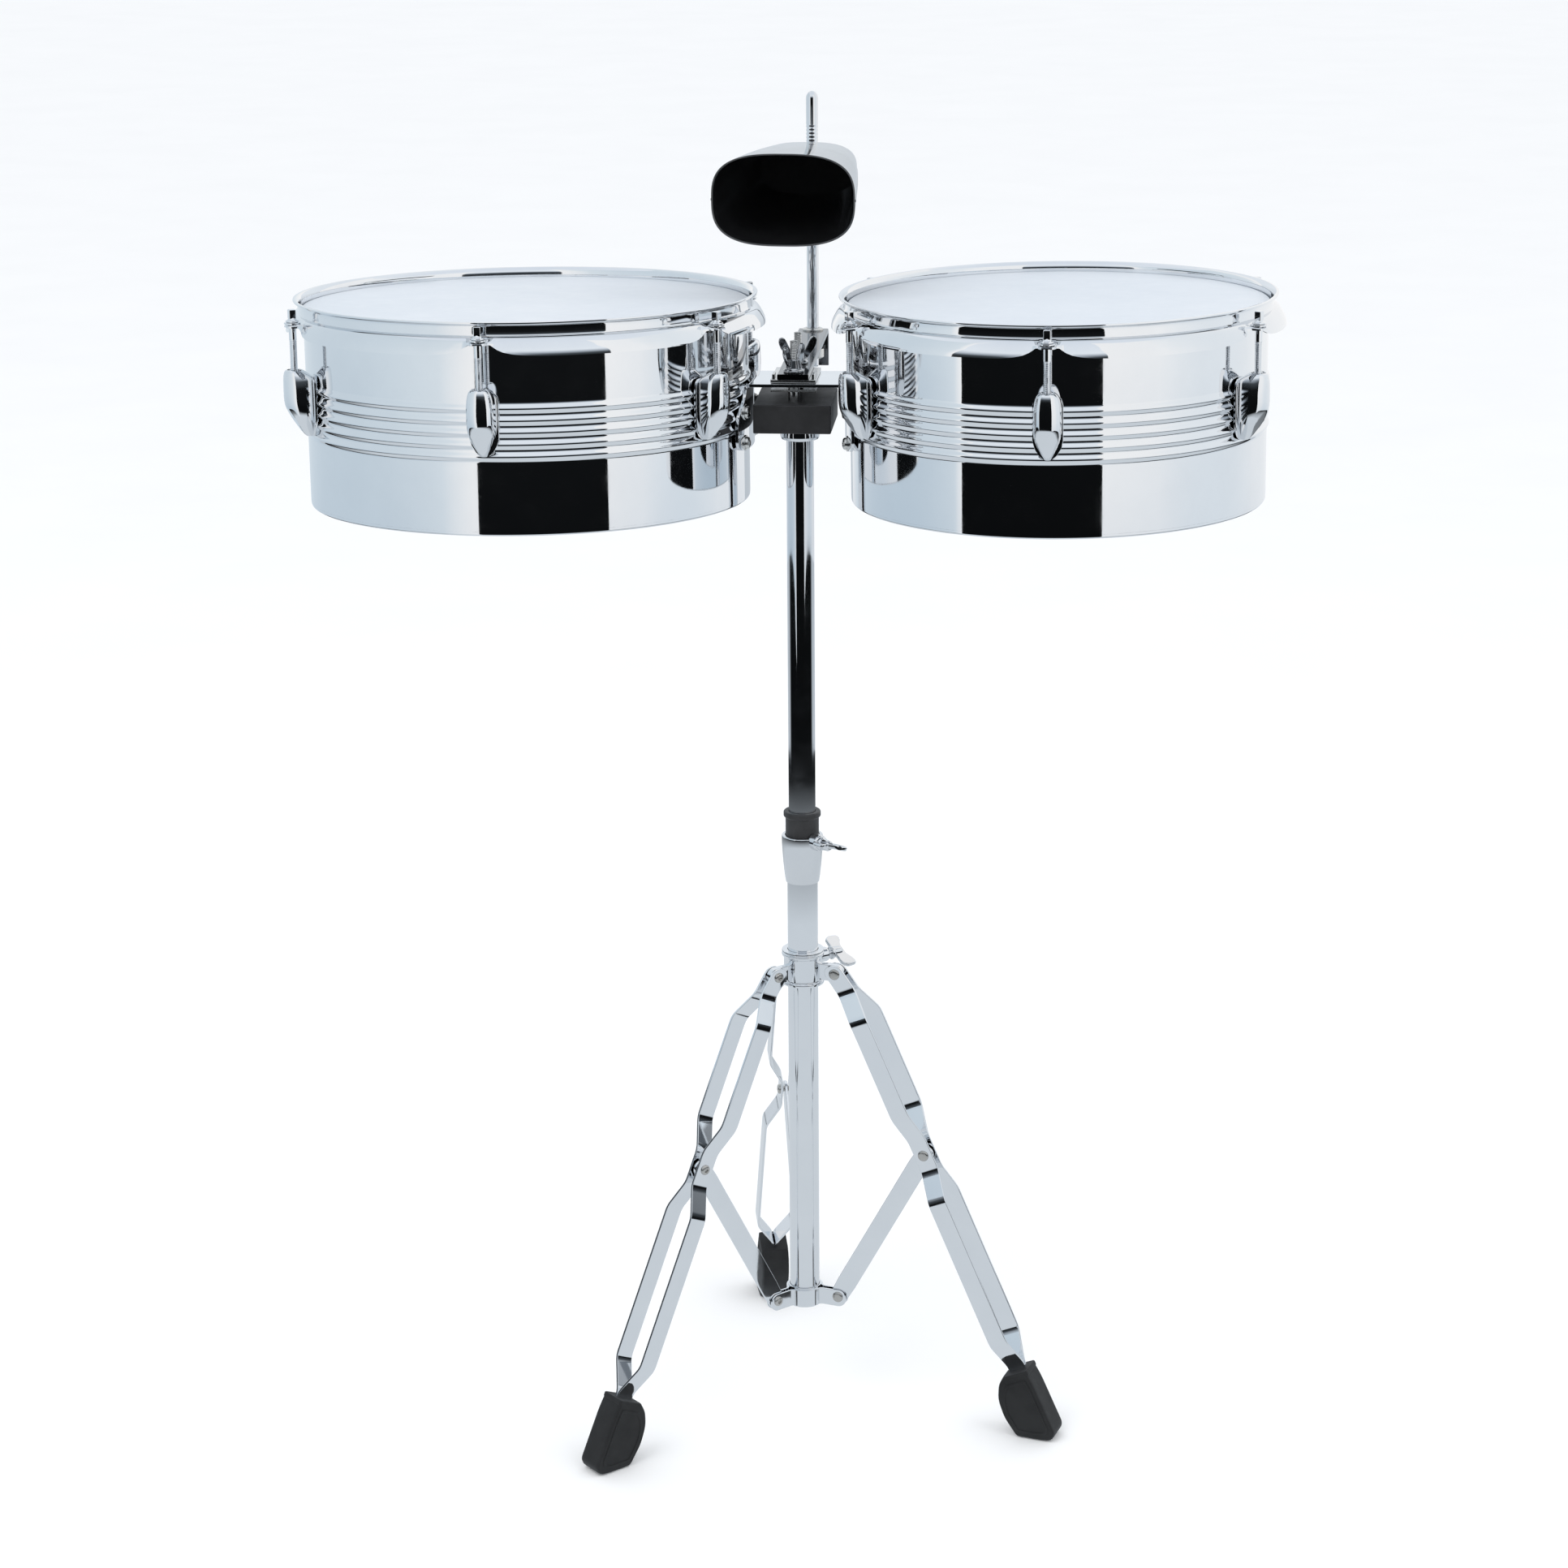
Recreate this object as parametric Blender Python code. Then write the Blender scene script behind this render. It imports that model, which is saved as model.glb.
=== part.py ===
"""Timbales: two steel drums and a cowbell on a folding tripod stand.

Metres, Z up. The origin is on the floor, under the middle of the outline seen from above.
The stand tube stands at TUBE_AXIS, and the frames below are all measured from it.
The bracket between the drums runs along X; the player stands on the -Y side.
"""
import math

import bmesh
import bpy
from mathutils import Matrix, Vector

# ---------------------------------------------------------------- sizes
GAP = 0.0003

# The stand tube stands here, so that the outline of the whole object is centred on the origin.
TUBE_AXIS = (0.0130, -0.0120, 0.0)

# Stand tubes
LOWER_TUBE_R = 0.0127
LOWER_TUBE_BORE = 0.0116
LOWER_TUBE_Z = (0.0890, 0.5000)
UPPER_TUBE_R = 0.0111
UPPER_TUBE_BORE = 0.0098
UPPER_TUBE_Z = (0.3000, 0.8606)
FLANGE_R = 0.0160
FLANGE_Z = 0.8490
TUBE_SIDES = 24

# Nylon bushing and the clamp casting that holds it
BUSHING_BORE = 0.0115
BUSHING_BODY_R = 0.0139
BUSHING_LIP_R = 0.0155
BUSHING_Z = (0.5010, 0.5301, 0.5351)
CLAMP_Z = (0.4733, 0.5144)
CLAMP_TOP_R = 0.0171
CLAMP_FOOT_R = 0.0139
CLAMP_POCKET_R = 0.01435
CLAMP_POCKET_Z = 0.5004
HEIGHT_BOLT_ANGLE = -42.0
HEIGHT_BOLT_Z = 0.5110

# Tripod
LEG_ANGLES = {"right": -16.9, "back": 103.1, "left": 223.1}
COLLAR_Z = (0.3830, 0.4134)
COLLAR_R = 0.0162
COLLAR_LIP_R = 0.0178
COLLAR_BORE = 0.0130
COLLAR_PIVOT = (0.0300, 0.3950)
KNEE = (0.0560, 0.3600)
WAIST_PIVOT = (0.1100, 0.2426)
SPIDER_PIVOT = (0.0318, 0.0985)
SPIDER_Z = (0.0884, 0.1061)
SPIDER_R = 0.0158
COLLAR_BOLT_ANGLE = 35.0
COLLAR_BOLT_Z = 0.4040
STRAP_WIDTH = 0.0160
STRAP_THICK = 0.0020
STRAP_BOW = 0.0175
STRAP_JOIN = 0.0681
STRAP_END = 0.0181
BRACE_WIDTH = 0.0168
BRACE_THICK = 0.0025
FOOT_HALF_THICK = 0.0125

# Drums: shell radius, centre of the rim plane, direction the drum faces
DRUMS = {
    "left": {"radius": 0.1778, "rim": (-0.2197, 0.0, 0.9653), "up": (-0.0064, 0.0361, 1.0), "inside": 0.0},
    "right": {"radius": 0.1657, "rim": (0.2054, 0.0, 0.9691), "up": (-0.0135, 0.0099, 1.0), "inside": 180.0},
}
SHELL_SIDES = 42
SHELL_TOP = -0.0083
SHELL_BOTTOM = -0.1645
SHELL_WALL = 0.0015
BEAD_HEIGHT = 0.0014
BEAD_LEVELS = (-0.0665, -0.0757, -0.0849, -0.0941, -0.1033)
BEAD_HALF = 0.0040
LUG_COUNT = 6
LUG_START = -92.0
ROD_OFFSET = 0.0155
ROD_R = 0.0030
LUG_TOP = -0.0480
LUG_LOW = -0.1036

# Bracket, cowbell arm and their bolts
BLOCK_X = -0.0030
BLOCK_SIZE = (0.0620, 0.0810)
BLOCK_Z = (0.8609, 0.8837)
STRAP_PLATE_Z = (0.8961, 0.8987)
STRAP_PLATE_HALF = 0.0300
SADDLE_Z = (0.8990, 0.9017)
ARM_Z = (0.9020, 0.9065)
ARM_WIDTH = 0.0250
ARM_Y = (-0.0310, 0.1945)
ARM_FLANGE_THICK = 0.0045
ARM_FLANGE_LOW = 0.8745
STUD_Y = {"front": -0.0200, "rear": 0.0200}
STUD_R = 0.00315
STUD_TOP = 0.9320
ROD_Y = 0.1800
COWBELL_ROD_R = 0.0050
COWBELL_ROD_Z = (0.8750, 1.1070)
EYE_Z = 0.8870
BELL_TURN = -2.86
BELL_Z = 1.0457
BELL_WALL = 0.0013

PALETTE = {
    "chrome": ((0.80, 0.82, 0.84), 1.0, 0.06),
    "smoked_chrome": ((0.42, 0.43, 0.45), 1.0, 0.12),
    "nickel": ((0.62, 0.60, 0.56), 1.0, 0.25),
    "black_gloss": ((0.010, 0.010, 0.011), 0.0, 0.12),
    "black_satin": ((0.018, 0.018, 0.020), 0.0, 0.45),
    "nylon": ((0.015, 0.015, 0.017), 0.0, 0.38),
    "rubber": ((0.013, 0.013, 0.014), 0.0, 0.75),
    "film": ((0.80, 0.82, 0.85), 0.0, 0.35),
}


# ---------------------------------------------------------------- scene
def clear_scene():
    for thing in list(bpy.data.objects):
        bpy.data.objects.remove(thing, do_unlink=True)


def new_collection(name):
    group = bpy.data.collections.new(name)
    bpy.context.scene.collection.children.link(group)
    return group


def new_material(name, kind):
    color, metallic, roughness = PALETTE[kind]
    material = bpy.data.materials.new(name)
    material.use_nodes = True
    shader = material.node_tree.nodes["Principled BSDF"]
    shader.inputs["Base Color"].default_value = (*color, 1.0)
    shader.inputs["Metallic"].default_value = metallic
    shader.inputs["Roughness"].default_value = roughness
    return material


clear_scene()
PARTS = new_collection("timbales")
CUTTERS = new_collection("cutters")


# ---------------------------------------------------------------- shapes
def circle(radius, height, sides, phase=0.0):
    points = []
    for index in range(sides):
        turn = phase + 2.0 * math.pi * index / sides
        points.append(Vector((radius * math.cos(turn), radius * math.sin(turn), height)))
    return points


def square(half, height):
    """Eight points on a square outline, so it joins an eight sided ring."""
    spots = ((1, 0), (1, 1), (0, 1), (-1, 1), (-1, 0), (-1, -1), (0, -1), (1, -1))
    return [Vector((half * x, half * y, height)) for x, y in spots]


def skin(sections, wrap=False):
    """Join equal outlines in order; open stacks get a cap at each end."""
    size = len(sections[0])
    count = len(sections)
    points = [point for section in sections for point in section]
    faces = []
    for low in range(count if wrap else count - 1):
        high = (low + 1) % count
        for spot in range(size):
            after = (spot + 1) % size
            faces.append((low * size + spot, low * size + after, high * size + after, high * size + spot))
    if not wrap:
        faces.append(tuple(range(size)))
        faces.append(tuple((count - 1) * size + spot for spot in range(size)))
    return points, faces


def turned(profile, sides, phase=0.0):
    """Solid of revolution: a stack of circles (radius, height) with end caps."""
    return skin([circle(radius, height, sides, phase) for radius, height in profile])


def hollow(profile, sides, phase=0.0):
    """Ring of revolution from a closed profile of (radius, height)."""
    sections = []
    for index in range(sides):
        turn = phase + 2.0 * math.pi * index / sides
        row = [Vector((r * math.cos(turn), r * math.sin(turn), z)) for r, z in profile]
        sections.append(row)
    return skin(sections, wrap=True)


def tube(outer, inner, low, high, sides):
    return hollow(((outer, low), (outer, high), (inner, high), (inner, low)), sides)


def prism(outline, low, high):
    """Extrude an XY outline from low to high along Z."""
    return skin([[Vector((x, y, z)) for x, y in outline] for z in (low, high)])


def box(low, high):
    outline = ((low[0], low[1]), (high[0], low[1]), (high[0], high[1]), (low[0], high[1]))
    return prism(outline, low[2], high[2])


def moved(shape, frame):
    points, faces = shape
    return [frame @ point for point in points], faces


def together(*shapes):
    """Several separate closed bodies in one mesh, for use as one operand."""
    points, faces = [], []
    for some_points, some_faces in shapes:
        start = len(points)
        points.extend(some_points)
        faces.extend(tuple(start + corner for corner in face) for face in some_faces)
    return points, faces


def rounded_bar(length, radius, arc_steps=5):
    """Outline of a bar with round ends, pivots at the origin and at +X length."""
    outline = []
    for index in range(arc_steps + 1):
        turn = math.pi / 2 + math.pi * index / arc_steps
        outline.append((radius * math.cos(turn), radius * math.sin(turn)))
    for index in range(arc_steps + 1):
        turn = -math.pi / 2 + math.pi * index / arc_steps
        outline.append((length + radius * math.cos(turn), radius * math.sin(turn)))
    return outline


# ---------------------------------------------------------------- objects
def new_object(name, shape, frame, group):
    points, faces = shape
    mesh = bpy.data.meshes.new(name)
    mesh.from_pydata([tuple(point) for point in points], [], faces)
    solid = bmesh.new()
    solid.from_mesh(mesh)
    bmesh.ops.recalc_face_normals(solid, faces=solid.faces)
    solid.to_mesh(mesh)
    solid.free()
    thing = bpy.data.objects.new(name, mesh)
    thing.matrix_world = frame
    group.objects.link(thing)
    return thing


def part(name, shape, kind, frame=None):
    place = at(*TUBE_AXIS) @ (frame or Matrix.Identity(4))
    thing = new_object(name, shape, place, PARTS)
    thing.data.materials.append(new_material(name + "_" + kind, kind))
    return thing


def combine(thing, shape, operation, frame=None):
    """Fuse or cut a part with a helper body given in the part's own frame."""
    count = len(thing.modifiers) + 1
    name = "{}_{}_{}".format(thing.name, operation.lower(), count)
    helper = new_object(name, shape, thing.matrix_world @ (frame or Matrix.Identity(4)), CUTTERS)
    helper.hide_render = True
    helper.display_type = "WIRE"
    modifier = thing.modifiers.new(name, "BOOLEAN")
    modifier.operation = operation
    modifier.solver = "EXACT"
    modifier.object = helper


def fuse(thing, shape, frame=None):
    combine(thing, shape, "UNION", frame)


def cut(thing, shape, frame=None):
    combine(thing, shape, "DIFFERENCE", frame)


# ---------------------------------------------------------------- frames
def at(x, y, z):
    return Matrix.Translation((x, y, z))


def turn_z(degrees):
    return Matrix.Rotation(math.radians(degrees), 4, "Z")


def outward(degrees, distance, height):
    """Frame whose Z points away from the stand axis at an angle about Z."""
    toward = turn_z(degrees) @ at(distance, 0.0, height)
    return toward @ Matrix.Rotation(math.radians(90.0), 4, "Y")


def leg_frame(side):
    """X along the leg's radius, Y sideways, Z up, on the stand axis."""
    return turn_z(LEG_ANGLES[side])


def link_frame(side, start, end):
    """X from start to end in the leg's plane, Z sideways across the leg."""
    along = Vector((end[0] - start[0], 0.0, end[1] - start[1])).normalized()
    sideways = Vector((0.0, 1.0, 0.0))
    across = sideways.cross(along)
    basis = Matrix((along, across, sideways)).transposed().to_4x4()
    return leg_frame(side) @ at(start[0], 0.0, start[1]) @ basis


def drum_frame(side):
    drum = DRUMS[side]
    tilt = Vector((0.0, 0.0, 1.0)).rotation_difference(Vector(drum["up"])).to_matrix().to_4x4()
    return at(*drum["rim"]) @ tilt


# ---------------------------------------------------------------- tubes
def build_tubes():
    part("lower_tube", tube(LOWER_TUBE_R, LOWER_TUBE_BORE, *LOWER_TUBE_Z, TUBE_SIDES), "chrome")
    low, high = UPPER_TUBE_Z
    profile = (
        (UPPER_TUBE_R, low), (UPPER_TUBE_R, FLANGE_Z), (FLANGE_R - 0.001, FLANGE_Z),
        (FLANGE_R, FLANGE_Z + 0.001), (FLANGE_R, high), (UPPER_TUBE_BORE, high), (UPPER_TUBE_BORE, low),
    )
    part("upper_tube", hollow(profile, TUBE_SIDES), "chrome", None)


def build_bushing():
    low, lip, high = BUSHING_Z
    profile = (
        (BUSHING_BORE, low), (BUSHING_BODY_R, low), (BUSHING_BODY_R, lip), (BUSHING_LIP_R, lip + 0.0008),
        (BUSHING_LIP_R, high - 0.0010), (BUSHING_LIP_R - 0.0010, high), (BUSHING_BORE, high),
    )
    part("tube_bushing", hollow(profile, TUBE_SIDES), "nylon")


def build_height_clamp():
    low, high = CLAMP_Z
    middle = low + 0.6 * (high - low)
    profile = (
        (LOWER_TUBE_R + GAP, low), (CLAMP_FOOT_R, low), (0.0150, low + 0.008), (0.0164, middle),
        (CLAMP_TOP_R, high - 0.004), (CLAMP_TOP_R, high - 0.0006), (CLAMP_TOP_R - 0.0006, high),
        (CLAMP_POCKET_R, high), (CLAMP_POCKET_R, CLAMP_POCKET_Z), (LOWER_TUBE_R + GAP, CLAMP_POCKET_Z),
    )
    clamp = part("height_clamp", hollow(profile, TUBE_SIDES), "chrome")
    boss = outward(HEIGHT_BOLT_ANGLE, 0.0, HEIGHT_BOLT_Z)
    fuse(clamp, turned(((0.0070, 0.0152), (0.0070, 0.0215), (0.0058, 0.0228)), 14), boss)
    cut(clamp, turned(((0.0037, 0.0120), (0.0037, 0.0260)), 12), boss)


def wing_bolt(name, frame, tip, head, wing_length, wing_turn):
    """Bolt along +Z: shank from tip to head, hub, and a flat two-sided wing."""
    shank = turned(((0.0033, tip), (0.0033, head), (0.0052, head), (0.0046, head + 0.009)), 12)
    bolt = part(name, shank, "chrome", frame)
    half = wing_length / 2
    outline = (
        (-half, 0.0062), (-half + 0.003, 0.0020), (-0.006, 0.0028), (0.006, 0.0028),
        (half - 0.003, 0.0020), (half, 0.0062), (half - 0.002, 0.0150), (0.006, 0.0122),
        (-0.006, 0.0122), (-half + 0.002, 0.0150),
    )
    wings = prism(outline, -0.0017, 0.0017)
    upright = Matrix.Rotation(math.radians(90.0), 4, "X")
    fuse(bolt, wings, at(0, 0, head + 0.001) @ turn_z(wing_turn) @ upright)


def wing_nut(name, frame, wing_turn, kind="chrome"):
    """Nut on a stud along +Z: washer face, cone hub and two upright wings."""
    profile = (
        (STUD_R + 0.0004, 0.0), (0.0080, 0.0), (0.0080, 0.0014), (0.0062, 0.0022),
        (0.0052, 0.0100), (STUD_R + 0.0004, 0.0100),
    )
    nut = part(name, hollow(profile, 14), kind, frame)
    wing = ((0.0046, 0.0030), (0.0090, 0.0052), (0.0150, 0.0125), (0.0160, 0.0190),
            (0.0135, 0.0215), (0.0098, 0.0200), (0.0060, 0.0096), (0.0046, 0.0090))
    upright = Matrix.Rotation(math.radians(90.0), 4, "X")
    one = prism(wing, -0.0015, 0.0015)
    two = moved(one, Matrix.Rotation(math.pi, 4, "Y"))
    fuse(nut, together(one, two), turn_z(wing_turn) @ upright)


# ---------------------------------------------------------------- tripod
def ear_plate(pivot, inner, radius, low, high):
    """Plate in the leg's plane from the hub out to a round end at the pivot."""
    outline = [(inner, pivot[1] - radius), (inner, pivot[1] + radius)]
    for index in range(7):
        turn = math.pi / 2 - math.pi * index / 6
        outline.append((pivot[0] + radius * math.cos(turn), pivot[1] + radius * math.sin(turn)))
    upright = Matrix.Rotation(math.radians(90.0), 4, "X")
    return moved(prism(outline, low, high), upright)


def sideways_pin(pivot, radius, low, high, sides=10):
    upright = at(pivot[0], 0.0, pivot[1]) @ Matrix.Rotation(math.radians(90.0), 4, "X")
    return moved(turned(((radius, low), (radius, high)), sides), upright)


def build_collar():
    low, high = COLLAR_Z
    profile = (
        (COLLAR_BORE, low), (COLLAR_LIP_R, low), (COLLAR_LIP_R, low + 0.0030), (COLLAR_R, low + 0.0036),
        (COLLAR_R, high - 0.0062), (COLLAR_LIP_R, high - 0.0054), (COLLAR_LIP_R, high), (COLLAR_BORE, high),
    )
    collar = part("leg_collar", hollow(profile, TUBE_SIDES), "chrome")
    ears = []
    for side in LEG_ANGLES:
        ears.append(moved(ear_plate(COLLAR_PIVOT, 0.0148, 0.0072, -0.0028, 0.0028), leg_frame(side)))
    boss = moved(turned(((0.0062, 0.0150), (0.0062, 0.0225), (0.0050, 0.0236)), 12),
                 outward(COLLAR_BOLT_ANGLE, 0.0, COLLAR_BOLT_Z))
    fuse(collar, together(*ears, boss))
    holes = [moved(sideways_pin(COLLAR_PIVOT, 0.0029, -0.01, 0.01, 12), leg_frame(side)) for side in LEG_ANGLES]
    holes.append(moved(turned(((0.0037, 0.0100), (0.0037, 0.0300)), 12),
                       outward(COLLAR_BOLT_ANGLE, 0.0, COLLAR_BOLT_Z)))
    cut(collar, together(*holes))


def build_spider():
    low, high = SPIDER_Z
    profile = ((COLLAR_BORE, low), (SPIDER_R, low), (SPIDER_R, high), (COLLAR_BORE, high))
    spider = part("bottom_spider", hollow(profile, TUBE_SIDES), "chrome")
    ears, slots = [], []
    for side in LEG_ANGLES:
        frame = leg_frame(side)
        ears.append(moved(ear_plate(SPIDER_PIVOT, 0.0145, 0.0074, -0.0034, 0.0034), frame))
        slots.append(moved(box((0.0185, -0.0018, 0.08), (0.05, 0.0018, 0.12)), frame))
    fuse(spider, together(*ears))
    cut(spider, together(*slots))
    heads = []
    for side in LEG_ANGLES:
        for low_face, high_face in ((0.0026, 0.0048), (-0.0048, -0.0026)):
            heads.append(moved(sideways_pin(SPIDER_PIVOT, 0.0046, low_face, high_face), leg_frame(side)))
    fuse(spider, together(*heads))


def link_length(start, end):
    return math.hypot(end[0] - start[0], end[1] - start[1])


def leg_run():
    """Distance along the leg's middle line from its knee to the floor."""
    return KNEE[1] * link_length(KNEE, WAIST_PIVOT) / (KNEE[1] - WAIST_PIVOT[1])


def top_pivot():
    """The collar pivot in the leg's frame: distance along it, and set in towards the tube."""
    length = link_length(KNEE, WAIST_PIVOT)
    down = ((WAIST_PIVOT[0] - KNEE[0]) / length, (WAIST_PIVOT[1] - KNEE[1]) / length)
    step = (COLLAR_PIVOT[0] - KNEE[0], COLLAR_PIVOT[1] - KNEE[1])
    return step[0] * down[0] + step[1] * down[1], step[0] * down[1] - step[1] * down[0]


def strap_path(offset):
    """(distance, sideways) along one strap of a leg; offset 0 is the inner face."""
    waist = link_length(KNEE, WAIST_PIVOT)
    top = top_pivot()[0]
    foot = leg_run() - STRAP_JOIN
    near, bow = 0.0033 + offset, STRAP_BOW - STRAP_THICK + offset
    path = [
        (top - 0.0075, near), (top + 0.0190, near), (0.0, bow), (waist - 0.0400, bow), (waist - 0.0150, near),
        (waist + 0.0150, near), (waist + 0.0400, bow), (foot - 0.0260, bow),
    ]
    return path, foot


def leg_outline():
    """Both straps seen edge on: a long fork that closes inside the foot."""
    outer, foot = strap_path(STRAP_THICK)
    inner, foot = strap_path(0.0)
    closed_outer = outer + [(foot, STRAP_THICK), (leg_run() - STRAP_END, STRAP_THICK)]
    mirrored = [(distance, -sideways) for distance, sideways in closed_outer]
    inside = [(distance, -sideways) for distance, sideways in inner]
    return closed_outer + mirrored[::-1] + inside + [(foot - 0.0015, 0.0)] + inner[::-1]


def set_in(shape):
    """Bend the leg in its own plane above the knee, so that its top meets the collar pivot."""
    top, offset = top_pivot()
    points, faces = shape
    return [Vector((p[0], p[1] + offset * max(0.0, p[0] / top), p[2])) for p in points], faces


def build_leg(side):
    frame = link_frame(side, KNEE, WAIST_PIVOT)
    sideways = Matrix.Rotation(math.radians(90.0), 4, "X")
    half = STRAP_WIDTH / 2
    shape = set_in(moved(prism(leg_outline(), -half, half), sideways))
    leg = part("leg_" + side, shape, "chrome", frame)
    reach = 0.0033 + STRAP_THICK
    pins = []
    for spot in (top_pivot(), (link_length(KNEE, WAIST_PIVOT), 0.0)):
        head = ((0.0036, -reach - 0.0016), (0.0047, -reach - 0.0006), (0.0047, -reach + 0.0005),
                (0.0025, -reach + 0.0006), (0.0025, reach - 0.0006), (0.0047, reach - 0.0005),
                (0.0047, reach + 0.0006), (0.0036, reach + 0.0016))
        pins.append(moved(turned(head, 10), at(spot[0], spot[1], 0.0)))
    fuse(leg, together(*pins))


def build_brace(side):
    frame = link_frame(side, WAIST_PIVOT, SPIDER_PIVOT)
    length = link_length(WAIST_PIVOT, SPIDER_PIVOT)
    half = BRACE_THICK / 2
    radius = 0.0070
    outline = rounded_bar(length, radius)
    wide = BRACE_WIDTH / 2
    outline = outline[:6] + [(0.014, -wide), (length - 0.014, -wide)] + outline[6:]
    outline += [(length - 0.014, wide), (0.014, wide)]
    brace = part("brace_" + side, prism(outline, -half, half), "chrome", frame)
    cut(brace, turned(((0.0030, -0.01), (0.0030, 0.01)), 12))


def foot_outline():
    """Rubber boot seen from the side, flat where it stands on the floor."""
    slope = math.atan2(WAIST_PIVOT[0] - KNEE[0], KNEE[1] - WAIST_PIVOT[1])
    run = leg_run()

    def floor(across):
        return run + across * math.tan(slope)

    return [
        (run - 0.0631, -0.0125), (run - 0.0561, -0.0190), (run - 0.0421, -0.0245), (run - 0.0281, -0.0252),
        (floor(-0.0210), -0.0210), (floor(-0.0030), -0.0030), (run + 0.0023, 0.0080), (run - 0.0025, 0.0128),
        (run - 0.0501, 0.0120), (run - 0.0631, 0.0105),
    ]


def build_foot(side):
    frame = link_frame(side, KNEE, WAIST_PIVOT)
    full = foot_outline()
    middle = (leg_run() - 0.0281, -0.005)
    slim = [(middle[0] + 0.90 * (x - middle[0]), middle[1] + 0.88 * (y - middle[1])) for x, y in full]
    flat = {4: full[4], 5: full[5]}
    slim = [flat.get(index, spot) for index, spot in enumerate(slim)]
    layers = ((-FOOT_HALF_THICK, slim), (-0.0098, full), (0.0098, full), (FOOT_HALF_THICK, slim))
    sections = [[Vector((x, -y, z)) for x, y in outline] for z, outline in layers]
    foot = part("foot_" + side, skin(sections), "rubber", frame)
    half = STRAP_WIDTH / 2 + GAP
    thick = STRAP_THICK + GAP
    cut(foot, box((leg_run() - 0.0860, -half, -thick), (leg_run() - STRAP_END + GAP, half, thick)))


# ---------------------------------------------------------------- drums
def build_shell(side):
    radius = DRUMS[side]["radius"]
    profile = [(radius - 0.0006, SHELL_TOP), (radius, SHELL_TOP - 0.0008), (radius, BEAD_LEVELS[0] + BEAD_HALF)]
    for level in BEAD_LEVELS:
        profile.append((radius + BEAD_HEIGHT, level))
        profile.append((radius, level - (BEAD_LEVELS[0] - BEAD_LEVELS[1]) / 2))
    profile[-1] = (radius, BEAD_LEVELS[-1] - BEAD_HALF)
    profile += [
        (radius, SHELL_BOTTOM + 0.002), (radius - 0.002, SHELL_BOTTOM), (radius - 0.006, SHELL_BOTTOM),
        (radius - 0.006, SHELL_BOTTOM + SHELL_WALL), (radius - SHELL_WALL, SHELL_BOTTOM + 0.003),
        (radius - SHELL_WALL, SHELL_TOP),
    ]
    phase = math.radians(LUG_START)
    part("shell_" + side, hollow(profile, SHELL_SIDES, phase), "chrome", drum_frame(side))


def build_head(side):
    radius = DRUMS[side]["radius"]
    profile = (
        (radius + 0.0001, -0.0080), (radius + 0.0005, -0.0086), (radius + 0.0006, -0.0176),
        (radius + 0.0058, -0.0176), (radius + 0.0058, -0.0125), (radius + 0.0013, -0.0122),
        (radius + 0.0013, -0.0086), (radius - 0.0008, -0.0075),
    )
    phase = math.radians(LUG_START)
    part("head_" + side, turned(profile, SHELL_SIDES, phase), "film", drum_frame(side))


def skirt_edge(level):
    """How far outside the shell the flared skirt is at a level below the rim."""
    levels = (-0.0115, -0.0172, -0.0212, -0.0250)
    reaches = (0.0077, 0.0116, 0.0136, 0.0141)
    for index in range(3):
        if level >= levels[index + 1]:
            share = (levels[index] - level) / (levels[index] - levels[index + 1])
            return reaches[index] + max(share, 0.0) * (reaches[index + 1] - reaches[index])
    return reaches[-1]


def hoop_section(radius, ear, skirt):
    """Hoop cut at one angle; ear runs from 0 between the rods to 1 at a rod."""
    middle = -0.0115 + 0.5 * (skirt + 0.0115)
    plain = (
        (0.0066, 0.0), (0.0077, -0.0005), (0.0076, -0.0018), (0.0044, -0.0024), (0.0041, -0.0100),
        (0.0077, -0.0113), (skirt_edge(middle), middle), (skirt_edge(skirt), skirt),
        (skirt_edge(skirt) - 0.0013, skirt), (skirt_edge(middle) - 0.0018, middle - 0.0004),
        (0.0066, -0.0123), (0.0021, -0.0119), (0.0021, -0.0036),
    )
    at_rod = (
        (0.0066, 0.0), (0.0077, -0.0005), (0.0076, -0.0018), (0.0044, -0.0024), (0.0041, -0.0100),
        (0.0078, -0.0113), (0.0088, -0.0138), (0.0211, -0.0140), (0.0212, skirt), (0.0080, skirt),
        (0.0068, -0.0123), (0.0021, -0.0119), (0.0021, -0.0036),
    )
    return tuple((radius + a[0] + ear * (b[0] - a[0]), a[1] + ear * (b[1] - a[1]))
                 for a, b in zip(plain, at_rod))


def build_hoop(side):
    radius = DRUMS[side]["radius"]
    half_sector = (
        (3.2, 1.0, -0.0160), (4.6, 0.12, -0.0190), (7.5, 0.0, -0.0214), (13.0, 0.0, -0.0236),
        (21.0, 0.0, -0.0247),
    )
    rows = [(-angle, ear, skirt) for angle, ear, skirt in half_sector[::-1]]
    rows += list(half_sector) + [(30.0, 0.0, -0.0250)]
    sections = []
    for index in range(LUG_COUNT):
        start = LUG_START + index * 360.0 / LUG_COUNT
        for angle, ear, skirt in rows:
            turn = math.radians(start + angle)
            row = [Vector((r * math.cos(turn), r * math.sin(turn), z))
                   for r, z in hoop_section(radius, ear, skirt)]
            sections.append(row)
    hoop = part("hoop_" + side, skin(sections, wrap=True), "chrome", drum_frame(side))
    holes = []
    for index in range(LUG_COUNT):
        spot = turn_z(LUG_START + index * 360.0 / LUG_COUNT) @ at(radius + ROD_OFFSET, 0.0, 0.0)
        holes.append(moved(turned(((0.0037, -0.025), (0.0037, -0.005)), 10), spot))
    cut(hoop, together(*holes))


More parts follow.
